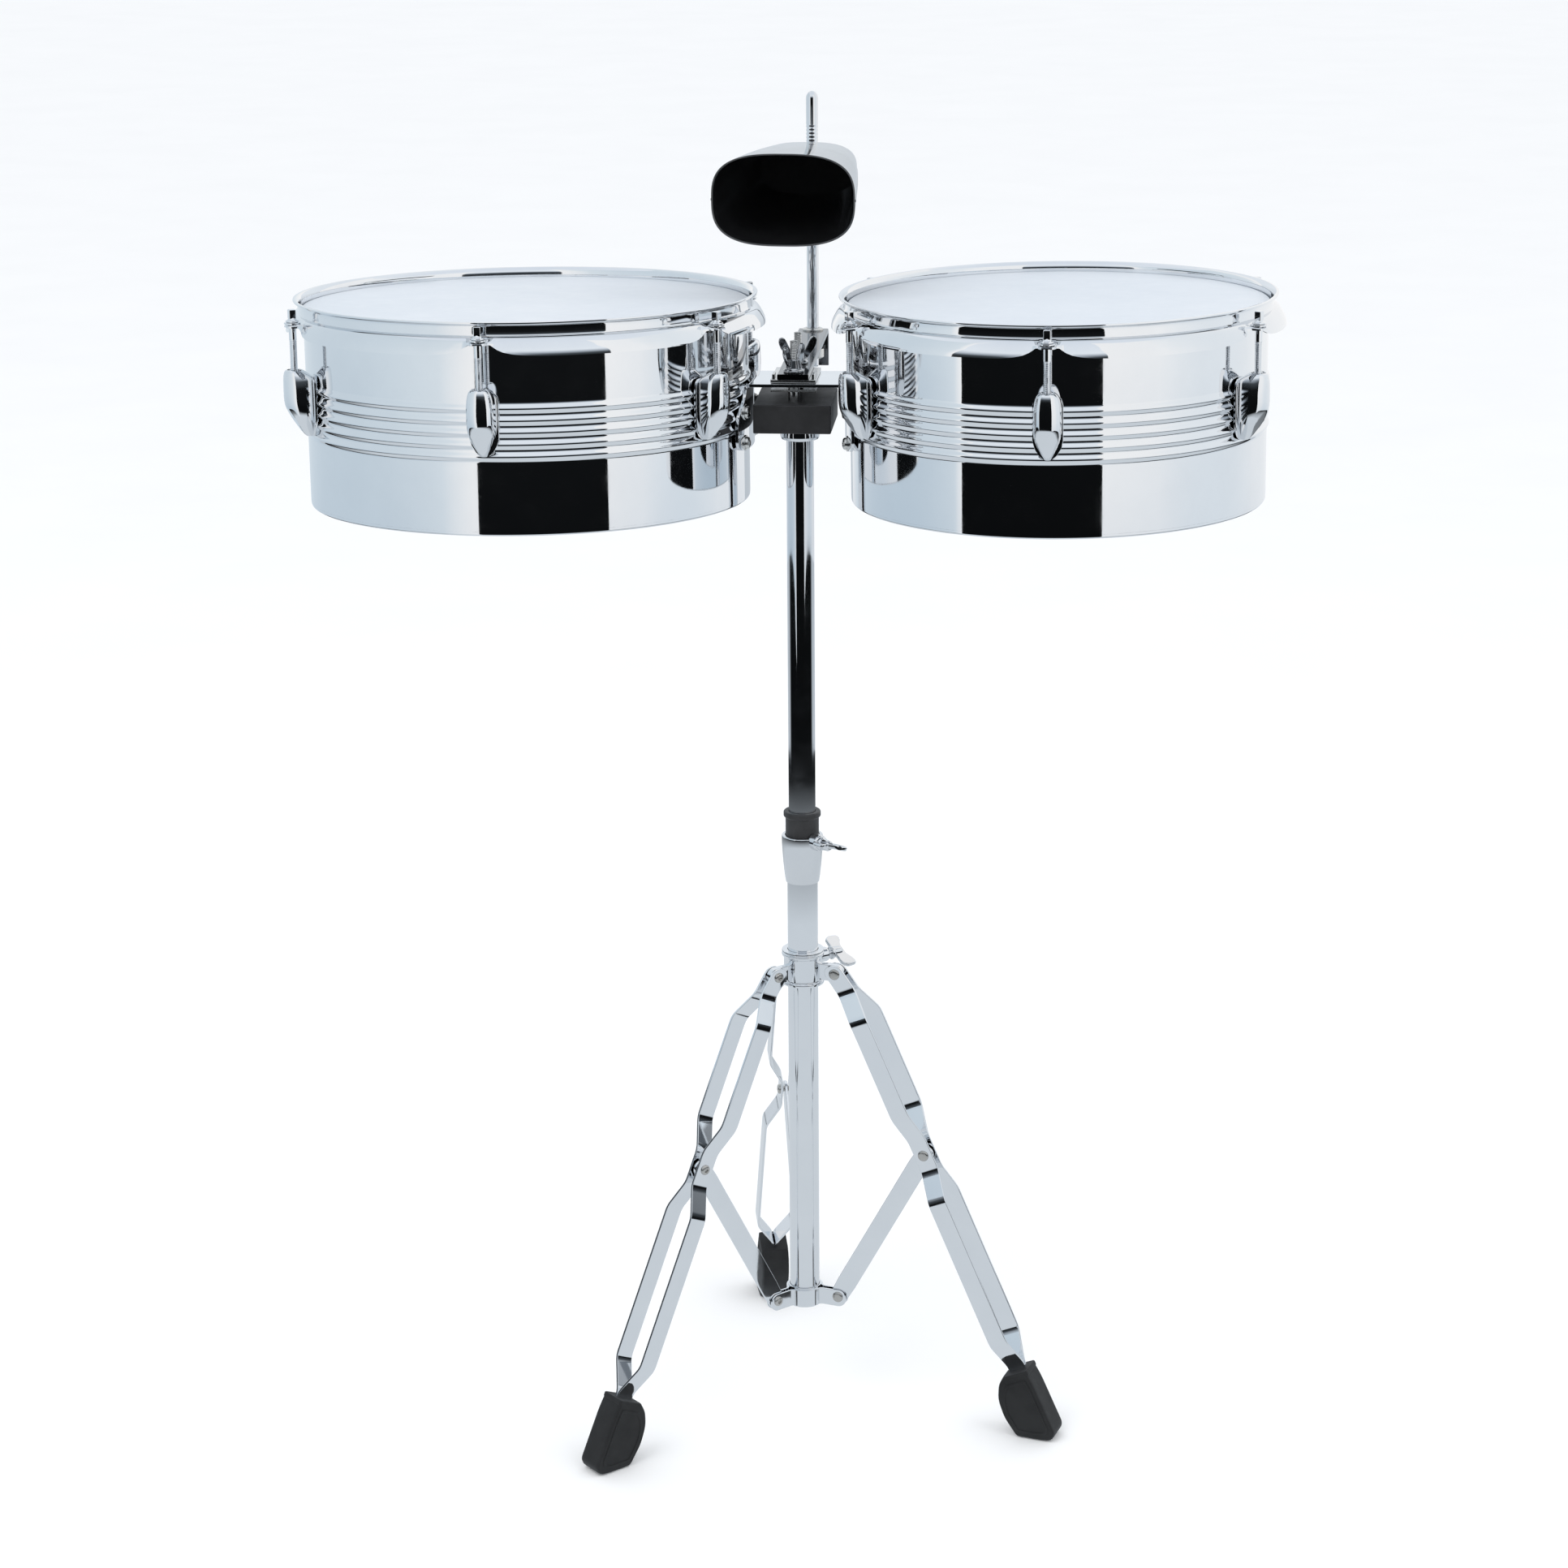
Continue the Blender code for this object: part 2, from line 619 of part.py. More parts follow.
def lug_section(height, half_width, depth):
    """D shaped cut through a lug: flat against the shell, round at the front."""
    back = 0.0018
    shape = ((0.0, -1.0), (0.55, -1.0), (0.86, -0.66), (1.0, 0.0), (0.86, 0.66), (0.55, 1.0), (0.0, 1.0))
    return [Vector((back + (depth - back) * x, half_width * y, height)) for x, y in shape]


def build_lug(side, number):
    radius = DRUMS[side]["radius"]
    angle = LUG_START + (number - 1) * 360.0 / LUG_COUNT
    frame = drum_frame(side) @ turn_z(angle) @ at(radius, 0.0, 0.0)
    levels = (
        (LUG_TOP, 0.0105, 0.0222), (LUG_TOP - 0.002, 0.0122, 0.0236), (-0.0780, 0.0130, 0.0240),
        (-0.0860, 0.0122, 0.0215), (-0.0960, 0.0082, 0.0130), (LUG_LOW, 0.0032, 0.0055),
    )
    shape = skin([lug_section(*level) for level in levels])
    lug = part("lug_{}_{}".format(side, number), shape, "chrome", frame)
    bore = turned(((0.0037, -0.0700), (0.0037, LUG_TOP - 0.004), (0.0062, LUG_TOP - 0.0005),
                   (0.0062, LUG_TOP + 0.004)), 10)
    cut(lug, bore, at(ROD_OFFSET, 0.0, 0.0))


def build_tension_rod(side, number):
    radius = DRUMS[side]["radius"]
    angle = LUG_START + (number - 1) * 360.0 / LUG_COUNT
    frame = drum_frame(side) @ turn_z(angle) @ at(radius + ROD_OFFSET, 0.0, -0.0134)
    sections = [circle(ROD_R, z, 8) for z in (-0.0540, 0.0)]
    sections += [circle(r, z, 8) for r, z in ((0.0062, 0.0), (0.0062, 0.0026), (0.0036, 0.0038))]
    sections += [square(0.0028, z) for z in (0.0050, 0.0114)]
    part("tension_rod_{}_{}".format(side, number), skin(sections), "chrome", frame)


# ---------------------------------------------------------------- bracket
def arc_outline(centre, radius, half_depth, flip):
    """Points of a circle about a drum centre, from -half_depth to +half_depth."""
    points = []
    for index in range(5):
        y = -half_depth + 2 * half_depth * index / 4
        reach = math.sqrt(radius ** 2 - (y - centre[1]) ** 2)
        points.append((centre[0] + flip * reach, y))
    return points


def saddle_ear(side):
    """Curved plate that follows a drum shell, in the drum's own frame."""
    radius = DRUMS[side]["radius"]
    scale = DRUMS["left"]["radius"] / radius
    inside = math.radians(DRUMS[side]["inside"])
    rows = ((-0.0679, 9.4), (-0.0800, 10.4), (-0.0900, 14.4), (-0.1020, 16.5), (-0.1140, 16.5), (-0.1212, 14.2))
    sections = []
    for height, half_angle in rows:
        turns = [inside + math.radians(half_angle * scale * step / 3.0) for step in range(-3, 4)]
        section = [Vector((math.cos(t), math.sin(t), 0)) * (radius + 0.0042) for t in turns]
        section += [Vector((math.cos(t), math.sin(t), 0)) * (radius + 0.0017) for t in turns[::-1]]
        sections.append([point + Vector((0, 0, height)) for point in section])
    return skin(sections)


def build_bracket():
    middle_height = (STRAP_PLATE_Z[0] + STRAP_PLATE_Z[1]) / 2
    ends = {}
    for side, flip in (("left", 1), ("right", -1)):
        frame = drum_frame(side)
        centre = frame @ Vector((0, 0, middle_height - frame.translation.z))
        ends[side] = arc_outline(centre, DRUMS[side]["radius"] + 0.0028, STRAP_PLATE_HALF, flip)
    outline = ends["right"] + ends["left"][::-1]
    bracket = part("drum_bracket", prism(outline, *STRAP_PLATE_Z), "chrome")
    for side in DRUMS:
        fuse(bracket, moved(saddle_ear(side), drum_frame(side)))
    cut(bracket, stud_holes(STRAP_PLATE_Z[0] - 0.005, STRAP_PLATE_Z[1] + 0.005))


def stud_holes(low, high, radius=0.0037):
    holes = [moved(turned(((radius, low), (radius, high)), 12), at(BLOCK_X, y, 0)) for y in STUD_Y.values()]
    return together(*holes)


def build_block():
    half_x, half_y = BLOCK_SIZE[0] / 2, BLOCK_SIZE[1] / 2
    trim = 0.0025
    outline = [
        (half_x - trim, -half_y), (half_x, -half_y + trim), (half_x, half_y - trim), (half_x - trim, half_y),
        (-half_x + trim, half_y), (-half_x, half_y - trim), (-half_x, -half_y + trim), (-half_x + trim, -half_y),
    ]
    outline = [(x + BLOCK_X, y - 0.0025) for x, y in outline]
    block = part("bracket_block", prism(outline, *BLOCK_Z), "black_satin")
    cut(block, stud_holes(BLOCK_Z[1] - 0.0150, BLOCK_Z[1] + 0.005))


def build_studs():
    low = BLOCK_Z[1] - 0.0140
    for place, y in STUD_Y.items():
        profile = (
            (STUD_R, low), (STUD_R, BLOCK_Z[1] + GAP), (0.0047, BLOCK_Z[1] + GAP),
            (0.0047, STRAP_PLATE_Z[0] - GAP), (STUD_R, STRAP_PLATE_Z[0] - GAP),
            (STUD_R, STUD_TOP - 0.0008), (STUD_R - 0.0008, STUD_TOP),
        )
        part("bracket_bolt_" + place, turned([(r, z - ARM_Z[1]) for r, z in profile], 12), "nickel",
             at(BLOCK_X, y, ARM_Z[1]))
        wing_nut("wing_nut_" + place, at(BLOCK_X, y, ARM_Z[1] + GAP), 65.0 if place == "front" else 20.0)


def build_arm():
    saddle = part("arm_saddle", box((BLOCK_X - 0.018, -0.0300, SADDLE_Z[0]), (BLOCK_X + 0.018, 0.0280, SADDLE_Z[1])),
                  "nickel")
    cut(saddle, stud_holes(SADDLE_Z[0] - 0.005, SADDLE_Z[1] + 0.005))
    half = ARM_WIDTH / 2
    back = ARM_Y[1]
    side_view = (
        (ARM_Y[0], ARM_Z[0]), (back - ARM_FLANGE_THICK, ARM_Z[0]), (back - ARM_FLANGE_THICK, ARM_FLANGE_LOW),
        (back, ARM_FLANGE_LOW), (back, ARM_Z[1] - 0.002), (back - 0.002, ARM_Z[1]), (ARM_Y[0], ARM_Z[1]),
    )
    sections = [[Vector((x, y, z)) for y, z in side_view] for x in (BLOCK_X - half, BLOCK_X + half)]
    arm = part("cowbell_arm", skin(sections), "smoked_chrome")
    through = moved(turned(((0.0056, 0.89), (0.0056, 0.92)), 16), at(BLOCK_X, ROD_Y, 0))
    crosswise = at(BLOCK_X, ROD_Y, EYE_Z) @ Matrix.Rotation(math.radians(-90.0), 4, "X")
    eye_hole = moved(turned(((0.0037, 0.005), (0.0037, 0.020)), 12), crosswise)
    cut(arm, together(stud_holes(ARM_Z[0] - 0.005, ARM_Z[1] + 0.005), through, eye_hole))


def build_eye_bolt():
    ring = hollow(((0.0056, -0.0040), (0.0094, -0.0040), (0.0094, 0.0040), (0.0056, 0.0040)), 16)
    eye = part("rod_eye_bolt", ring, "nickel", at(BLOCK_X, ROD_Y, EYE_Z))
    crosswise = Matrix.Rotation(math.radians(-90.0), 4, "X")
    fuse(eye, turned(((STUD_R, 0.0078), (STUD_R, 0.0330)), 12), crosswise)
    behind = at(BLOCK_X, ARM_Y[1] + GAP, EYE_Z) @ crosswise
    wing_nut("rod_wing_nut", behind, 90.0)


# ---------------------------------------------------------------- cowbell
def oval(half_width, half_height, sides=20, power=2.8):
    """Squared oval outline in X and Z."""
    points = []
    for index in range(sides):
        turn = 2.0 * math.pi * (index + 0.5) / sides
        c, s = math.cos(turn), math.sin(turn)
        x = half_width * math.copysign(abs(c) ** (2.0 / power), c)
        z = half_height * math.copysign(abs(s) ** (2.0 / power), s)
        points.append((x, z))
    return points


def bell_section(y, half_width, half_height, lift):
    return [Vector((x, y, z + lift)) for x, z in oval(half_width, half_height)]


def build_cowbell():
    wall = BELL_WALL
    sections = [
        bell_section(-0.0262, 0.0390 - wall, 0.0203 - wall, 0.0),
        bell_section(-0.1840, 0.0575 - wall, 0.0365 - wall, -0.0055),
        bell_section(-0.1840, 0.0575, 0.0365, -0.0055),
        bell_section(-0.0262, 0.0408, 0.0220, 0.0),
        bell_section(-0.0248, 0.0380, 0.0195, 0.0),
    ]
    frame = at(BLOCK_X, ROD_Y, BELL_Z) @ turn_z(BELL_TURN)
    bell = part("cowbell", skin(sections), "black_gloss", frame)
    neck = box((-0.0080, -0.0256, -0.0085), (0.0080, -0.0040, 0.0085))
    barrel = turned(((0.0092, -0.0110), (0.0092, 0.0110)), 16)
    fuse(bell, neck)
    fuse(bell, barrel)
    backward = Matrix.Rotation(math.radians(-90.0), 4, "X")
    fuse(bell, turned(((0.0062, 0.0060), (0.0062, 0.0140)), 14), backward)
    cut(bell, turned(((0.0056, -0.03), (0.0056, 0.03)), 16))
    cut(bell, turned(((0.0037, 0.0020), (0.0037, 0.0200)), 12), backward)
    wing_bolt("cowbell_wing_bolt", frame @ backward, 0.0054, 0.0146, 0.0340, 30.0)
    rod = turned(((COWBELL_ROD_R - 0.0006, COWBELL_ROD_Z[0] - BELL_Z), (COWBELL_ROD_R, COWBELL_ROD_Z[0] - BELL_Z + 0.001),
                  (COWBELL_ROD_R, COWBELL_ROD_Z[1] - BELL_Z - 0.001),
                  (COWBELL_ROD_R - 0.001, COWBELL_ROD_Z[1] - BELL_Z)), 16)
    part("cowbell_rod", rod, "smoked_chrome", at(BLOCK_X, ROD_Y, BELL_Z))


# ---------------------------------------------------------------- build
build_tubes()
build_bushing()
build_height_clamp()
wing_bolt("height_wing_bolt", outward(HEIGHT_BOLT_ANGLE, 0.0, HEIGHT_BOLT_Z), 0.0146, 0.0234, 0.0340, 72.0)
build_collar()
wing_bolt("collar_wing_bolt", outward(COLLAR_BOLT_ANGLE, 0.0, COLLAR_BOLT_Z), 0.0131, 0.0242, 0.0380, 114.0)
build_spider()
for leg_side in LEG_ANGLES:
    build_leg(leg_side)
    build_brace(leg_side)
    build_foot(leg_side)
for drum_side in DRUMS:
    build_shell(drum_side)
    build_head(drum_side)
    build_hoop(drum_side)
    for lug_number in range(1, LUG_COUNT + 1):
        build_lug(drum_side, lug_number)
        build_tension_rod(drum_side, lug_number)
build_bracket()
build_block()
build_studs()
build_arm()
build_eye_bolt()
build_cowbell()
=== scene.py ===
"""Looks of a pair of timbales with a cowbell on a folding tripod stand.

Metres, Z up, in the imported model's frame. Every piece is placed from the axis
of the stand tube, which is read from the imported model.
"""
import math

import bmesh
import bpy
import numpy as np
from mathutils import Matrix, Vector


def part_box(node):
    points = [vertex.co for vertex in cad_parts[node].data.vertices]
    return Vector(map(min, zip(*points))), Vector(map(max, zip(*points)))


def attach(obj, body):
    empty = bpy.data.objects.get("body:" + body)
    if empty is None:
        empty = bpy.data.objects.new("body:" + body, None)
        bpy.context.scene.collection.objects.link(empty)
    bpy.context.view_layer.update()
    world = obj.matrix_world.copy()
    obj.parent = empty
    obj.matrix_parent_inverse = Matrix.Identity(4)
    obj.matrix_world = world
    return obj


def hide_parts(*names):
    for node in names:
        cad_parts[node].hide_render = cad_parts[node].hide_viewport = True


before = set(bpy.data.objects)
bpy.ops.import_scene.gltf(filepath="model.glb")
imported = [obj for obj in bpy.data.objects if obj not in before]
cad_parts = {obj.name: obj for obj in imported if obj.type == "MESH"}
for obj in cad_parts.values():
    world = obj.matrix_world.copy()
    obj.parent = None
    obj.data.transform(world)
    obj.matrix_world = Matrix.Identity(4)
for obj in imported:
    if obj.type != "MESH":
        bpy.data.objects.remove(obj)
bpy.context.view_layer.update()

TUBE_LOW, TUBE_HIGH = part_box("lower_tube")
STAND = Matrix.Translation(((TUBE_LOW.x + TUBE_HIGH.x) / 2, (TUBE_LOW.y + TUBE_HIGH.y) / 2, 0.0))

# ---------------------------------------------------------------- sizes
LOWER_TUBE_R = 0.0127
LOWER_TUBE_BORE = 0.0116
UPPER_TUBE_R = 0.0111
UPPER_TUBE_BORE = 0.0098
UPPER_TUBE_Z = (0.3000, 0.8606)
FLANGE_R = 0.0160
FLANGE_Z = 0.8490
CLAMP_Z = (0.4733, 0.5144)
CLAMP_POCKET_Z = 0.5004
HEIGHT_BOLT_ANGLE = -42.0
HEIGHT_BOLT_Z = 0.5110

LEG_ANGLES = {"right": -16.9, "back": 103.1, "left": 223.1}
COLLAR_Z = (0.3830, 0.4134)
COLLAR_PIVOT = (0.0300, 0.3950)
KNEE = (0.0560, 0.3600)
WAIST_PIVOT = (0.1100, 0.2426)
SPIDER_PIVOT = (0.0318, 0.0985)
SPIDER_Z = (0.0884, 0.1061)
COLLAR_BOLT_ANGLE = 35.0
COLLAR_BOLT_Z = 0.4040
STRAP_HALF = 0.0080
STRAP_THICK = 0.0020
STRAP_EYE = 0.0078
STRAP_END = 0.0196
STRAP_JOIN = 0.0681

DRUMS = {
    "left": {"radius": 0.1778, "rim": (-0.2197, 0.0, 0.9653), "up": (-0.0064, 0.0361, 1.0), "inside": 0.0},
    "right": {"radius": 0.1657, "rim": (0.2054, 0.0, 0.9691), "up": (-0.0135, 0.0099, 1.0), "inside": 180.0},
}
SHELL_TOP = -0.0083
SHELL_BOTTOM = -0.1645
SHELL_WALL = 0.0015
BEAD_LEVELS = (-0.0665, -0.0757, -0.0849, -0.0941, -0.1033)
BEAD_PITCH = 0.0092
BEAD_HEIGHT = 0.0016
LUG_START = -92.0
LUG_COUNT = 6
LUG_STEP = 360.0 / LUG_COUNT
ROD_OFFSET = 0.0155
LUG_TOP = -0.0495
ROD_ORIGIN = -0.0134

BLOCK_X = -0.0030
BLOCK_Z = (0.8609, 0.8837)
STRAP_PLATE_Z = 0.8974
ARM_Z = (0.9020, 0.9065)
STUD_Y = {"front": -0.0200, "rear": 0.0200}
STUD_R = 0.00315
STUD_TOP = 0.9320
ROD_Y = 0.1800
EYE_Z = 0.8870
BELL_TURN = -2.86
BELL_Z = 1.0457
ROD_Z = (0.8752, 1.1069)
ROD_R = 0.0050
KNURL_Z = (1.0580, 1.0800)
KNURL_PITCH = 0.0030
KNURL_DEPTH = 0.00018

FINE = 192
MEDIUM = 96
SMALL = 40


# ---------------------------------------------------------------- shapes
def at(x, y, z):
    return Matrix.Translation((x, y, z))


def turn(degrees, axis="Z"):
    return Matrix.Rotation(math.radians(degrees), 4, axis)


def outward(degrees, distance, height):
    """Frame whose Z points away from the stand axis at an angle about Z."""
    return turn(degrees) @ at(distance, 0.0, height) @ turn(90.0, "Y")


def link_frame(side, start, end):
    """X from start to end in the leg's plane, Z sideways across the leg."""
    along = Vector((end[0] - start[0], 0.0, end[1] - start[1])).normalized()
    sideways = Vector((0.0, 1.0, 0.0))
    across = sideways.cross(along)
    basis = Matrix((along, across, sideways)).transposed().to_4x4()
    return turn(LEG_ANGLES[side]) @ at(start[0], 0.0, start[1]) @ basis


def drum_frame(side):
    drum = DRUMS[side]
    tilt = Vector((0.0, 0.0, 1.0)).rotation_difference(Vector(drum["up"])).to_matrix().to_4x4()
    return at(*drum["rim"]) @ tilt


def link_length(start, end):
    return math.hypot(end[0] - start[0], end[1] - start[1])


def rounded(points, radius, closed=True, steps=4):
    """Outline whose corners are replaced by short curves of about this radius."""
    count = len(points)
    outline = []
    for index, point in enumerate(points):
        here = Vector(point)
        if not closed and index in (0, count - 1):
            outline.append(tuple(here))
            continue
        before = Vector(points[index - 1]) - here
        after = Vector(points[(index + 1) % count]) - here
        wanted = radius[index] if hasattr(radius, "__len__") else radius
        reach = min(wanted, 0.48 * before.length, 0.48 * after.length)
        start = here + before.normalized() * reach
        end = here + after.normalized() * reach
        for step in range(steps + 1):
            t = step / steps
            spot = start * (1 - t) ** 2 + here * (2 * t * (1 - t)) + end * t ** 2
            outline.append(tuple(spot))
    return outline


def skin(sections, wrap=False):
    """Join equal outlines in order; open stacks get a cap at each end."""
    size = len(sections[0])
    count = len(sections)
    points = [tuple(point) for section in sections for point in section]
    faces = []
    for low in range(count if wrap else count - 1):
        high = (low + 1) % count
        for spot in range(size):
            after = (spot + 1) % size
            faces.append((low * size + spot, low * size + after, high * size + after, high * size + spot))
    if not wrap:
        faces.append(tuple(reversed(range(size))))
        faces.append(tuple((count - 1) * size + spot for spot in range(size)))
    return points, faces


def circle(radius, height, sides):
    return [(radius * math.cos(2 * math.pi * k / sides), radius * math.sin(2 * math.pi * k / sides), height)
            for k in range(sides)]


def rectangle(low_x, high_x, low_y, high_y):
    return [(low_x, low_y), (high_x, low_y), (high_x, high_y), (low_x, high_y)]


def turned(profile, sides):
    """Solid of revolution from a stack of (radius, height)."""
    return skin([circle(radius, height, sides) for radius, height in profile])


def hollow(profile, sides):
    """Ring of revolution from a closed profile of (radius, height)."""
    sections = []
    for index in range(sides):
        angle = 2 * math.pi * index / sides
        sections.append([(r * math.cos(angle), r * math.sin(angle), z) for r, z in profile])
    return skin(sections, wrap=True)


def prism(outline, low, high):
    return skin([[(x, y, z) for x, y in outline] for z in (low, high)])


def moved(shape, place):
    points, faces = shape
    return [tuple(place @ Vector(point)) for point in points], faces


def together(*shapes):
    points, faces = [], []
    for some_points, some_faces in shapes:
        start = len(points)
        points.extend(some_points)
        faces.extend(tuple(start + corner for corner in face) for face in some_faces)
    return points, faces


def bar_section(half_width, half_thick, corner, steps=3):
    corners = [(x * half_width, z * half_thick) for x, z in ((1, 1), (-1, 1), (-1, -1), (1, -1))]
    return rounded(corners, corner, True, steps)


def strap(path, thick, half_width, corner=0.0005):
    """Flat bar bent along a path in the XZ plane, its width along Y.

    half_width is a number, or a function of the distance along the path.
    """
    path = [Vector((point[0], 0.0, point[1])) for point in path]
    sections = []
    travelled = 0.0
    for index, point in enumerate(path):
        before = path[max(index - 1, 0)]
        after = path[min(index + 1, len(path) - 1)]
        travelled += (point - before).length
        along = (after - before).normalized()
        normal = Vector((-along.z, 0.0, along.x))
        arrive = (point - before).normalized() if index else along
        stretch = 1.0 / max(0.5, abs(arrive.dot(along)))
        wide = half_width(travelled) if callable(half_width) else half_width
        outline = bar_section(max(wide, corner * 1.2), thick / 2, corner)
        sections.append([point + normal * (z * stretch) + Vector((0.0, y, 0.0)) for y, z in outline])
    return skin(sections)


def dense(path, spacing):
    """The same path with extra points, so that its width can change smoothly."""
    out = [Vector(path[0])]
    for point in path[1:]:
        start, end = out[-1].copy(), Vector(point)
        count = max(1, int((end - start).length / spacing))
        for step in range(1, count + 1):
            out.append(start + (end - start) * step / count)
    return [tuple(point) for point in out]


def smooth_step(t):
    t = min(max(t, 0.0), 1.0)
    return t * t * (3 - 2 * t)


# ---------------------------------------------------------------- materials
def new_material(name):
    material = bpy.data.materials.new(name)
    material.use_nodes = True
    nodes, links = material.node_tree.nodes, material.node_tree.links
    nodes.clear()
    output = nodes.new("ShaderNodeOutputMaterial")
    shader = nodes.new("ShaderNodeBsdfPrincipled")
    links.new(shader.outputs["BSDF"], output.inputs["Surface"])
    place = nodes.new("ShaderNodeTexCoord")
    return material, nodes, links, shader, place


def add_noise(nodes, links, place, scale, detail=4.0, rough=0.55, stretch=(1.0, 1.0, 1.0)):
    mapping = nodes.new("ShaderNodeMapping")
    mapping.inputs["Scale"].default_value = stretch
    links.new(place.outputs["Object"], mapping.inputs["Vector"])
    noise = nodes.new("ShaderNodeTexNoise")
    noise.inputs["Scale"].default_value = scale
    noise.inputs["Detail"].default_value = detail
    noise.inputs["Roughness"].default_value = rough
    links.new(mapping.outputs["Vector"], noise.inputs["Vector"])
    return noise.outputs["Fac"]


def add_ramp(nodes, links, source, stops):
    ramp = nodes.new("ShaderNodeValToRGB")
    while len(ramp.color_ramp.elements) < len(stops):
        ramp.color_ramp.elements.new(0.5)
    for element, (spot, colour) in zip(ramp.color_ramp.elements, stops):
        element.position = spot
        element.color = tuple(colour) + (1.0,)
    links.new(source, ramp.inputs["Fac"])
    return ramp.outputs["Color"]


def add_range(nodes, links, source, low, high, from_low=0.3, from_high=0.7):
    spread = nodes.new("ShaderNodeMapRange")
    spread.inputs["From Min"].default_value = from_low
    spread.inputs["From Max"].default_value = from_high
    spread.inputs["To Min"].default_value = low
    spread.inputs["To Max"].default_value = high
    links.new(source, spread.inputs["Value"])
    return spread.outputs["Result"]


def add_bump(nodes, links, shader, source, strength, distance, before=None):
    bump = nodes.new("ShaderNodeBump")
    bump.inputs["Strength"].default_value = strength
    bump.inputs["Distance"].default_value = distance
    links.new(source, bump.inputs["Height"])
    if before is not None:
        links.new(before, bump.inputs["Normal"])
    links.new(bump.outputs["Normal"], shader.inputs["Normal"])
    return bump.outputs["Normal"]


def plated_metal(name, bright, dim, polish, dull, ripple=0.05, grain=(1.0, 1.0, 1.0), grain_size=900.0):
    """Mirror plate: faint clouding in the colour, smudges in the polish, fine lines and a slow ripple."""
    material, nodes, links, shader, place = new_material(name)
    shader.inputs["Metallic"].default_value = 1.0
    clouds = add_noise(nodes, links, place, 14.0, 5.0, 0.6)
    colour = add_ramp(nodes, links, clouds, ((0.30, dim), (0.62, bright)))
    links.new(colour, shader.inputs["Base Color"])
    smudges = add_noise(nodes, links, place, 38.0, 8.0, 0.62)
    links.new(add_range(nodes, links, smudges, polish, dull, 0.42, 0.80), shader.inputs["Roughness"])
    slow = add_noise(nodes, links, place, 26.0, 2.0, 0.4)
    normal = add_bump(nodes, links, shader, slow, ripple, 0.0006)
    lines = add_noise(nodes, links, place, grain_size, 3.0, 0.5, grain)
    add_bump(nodes, links, shader, lines, 0.035, 0.00004, normal)
    return material


def coated(name, dark, light, polish, dull, coat, bump_size, bump_depth, strength=0.2):
    """Paint, nylon or rubber: mottled colour, uneven gloss and a fine skin texture."""
    material, nodes, links, shader, place = new_material(name)
    shader.inputs["Coat Weight"].default_value = coat
    shader.inputs["Coat Roughness"].default_value = 0.05
    mottle = add_noise(nodes, links, place, 60.0, 6.0, 0.6)
    links.new(add_ramp(nodes, links, mottle, ((0.32, dark), (0.70, light))), shader.inputs["Base Color"])
    wear = add_noise(nodes, links, place, 24.0, 7.0, 0.65)
    links.new(add_range(nodes, links, wear, polish, dull), shader.inputs["Roughness"])
    peel = add_noise(nodes, links, place, bump_size, 4.0, 0.55)
    add_bump(nodes, links, shader, peel, strength, bump_depth)
    return material


def film_material():
    """Drum head: hazy plastic film with faint fibres and an unevenly rubbed gloss."""
    material, nodes, links, shader, place = new_material("head_film")
    haze = add_noise(nodes, links, place, 9.0, 6.0, 0.6)
    colour = add_ramp(nodes, links, haze, ((0.30, (0.585, 0.630, 0.685)), (0.70, (0.620, 0.662, 0.715))))
    links.new(colour, shader.inputs["Base Color"])
    rub = add_noise(nodes, links, place, 30.0, 8.0, 0.7)
    links.new(add_range(nodes, links, rub, 0.34, 0.52), shader.inputs["Roughness"])
    shader.inputs["Specular IOR Level"].default_value = 0.45
    shader.inputs["Subsurface Weight"].default_value = 0.15
    shader.inputs["Subsurface Radius"].default_value = (0.004, 0.004, 0.004)
    fibres = add_noise(nodes, links, place, 700.0, 3.0, 0.6, (1.0, 1.0, 0.2))
    add_bump(nodes, links, shader, fibres, 0.08, 0.00010)
    return material


CHROME = plated_metal("chrome_plate", (0.835, 0.850, 0.868), (0.795, 0.812, 0.835), 0.025, 0.085, 0.05)
TUBE_CHROME = plated_metal("tube_chrome", (0.790, 0.805, 0.825), (0.745, 0.762, 0.785), 0.040, 0.110, 0.04,
                           (1.0, 1.0, 0.02), 1400.0)
CAST_CHROME = plated_metal("cast_chrome", (0.800, 0.810, 0.825), (0.740, 0.752, 0.770), 0.050, 0.140, 0.22)
# Chrome for the cowbell arm with its base colour painted dark: a painted dark reflection.
CHROME_PAINTED_DARK_REFLECTION = plated_metal("chrome_painted_dark_reflection", (0.150, 0.152, 0.158), (0.105, 0.107, 0.112), 0.060, 0.160, 0.06)
WING_CHROME = plated_metal("wing_chrome", (0.560, 0.568, 0.580), (0.440, 0.448, 0.460), 0.050, 0.140, 0.30)
NICKEL = plated_metal("nickel_plate", (0.690, 0.685, 0.670), (0.600, 0.592, 0.575), 0.160, 0.320, 0.10)
RIVET = plated_metal("rivet_nickel", (0.560, 0.545, 0.520), (0.470, 0.455, 0.430), 0.220, 0.360, 0.10)
BELL_BLACK = coated("bell_black", (0.0105, 0.0110, 0.0122), (0.0165, 0.0172, 0.0188), 0.12, 0.22, 1.0,
                    900.0, 0.00006, 0.08)
SATIN_BLACK = coated("satin_black", (0.014, 0.014, 0.015), (0.024, 0.024, 0.026), 0.42, 0.58, 0.0,
                     2600.0, 0.00010, 0.30)
NYLON = coated("nylon_black", (0.020, 0.020, 0.021), (0.032, 0.032, 0.034), 0.38, 0.55, 0.0,
               1500.0, 0.00008, 0.25)
RUBBER = coated("boot_rubber", (0.0045, 0.0046, 0.0050), (0.0100, 0.0101, 0.0106), 0.50, 0.72, 0.0,
                1800.0, 0.00012, 0.35)
FILM = film_material()


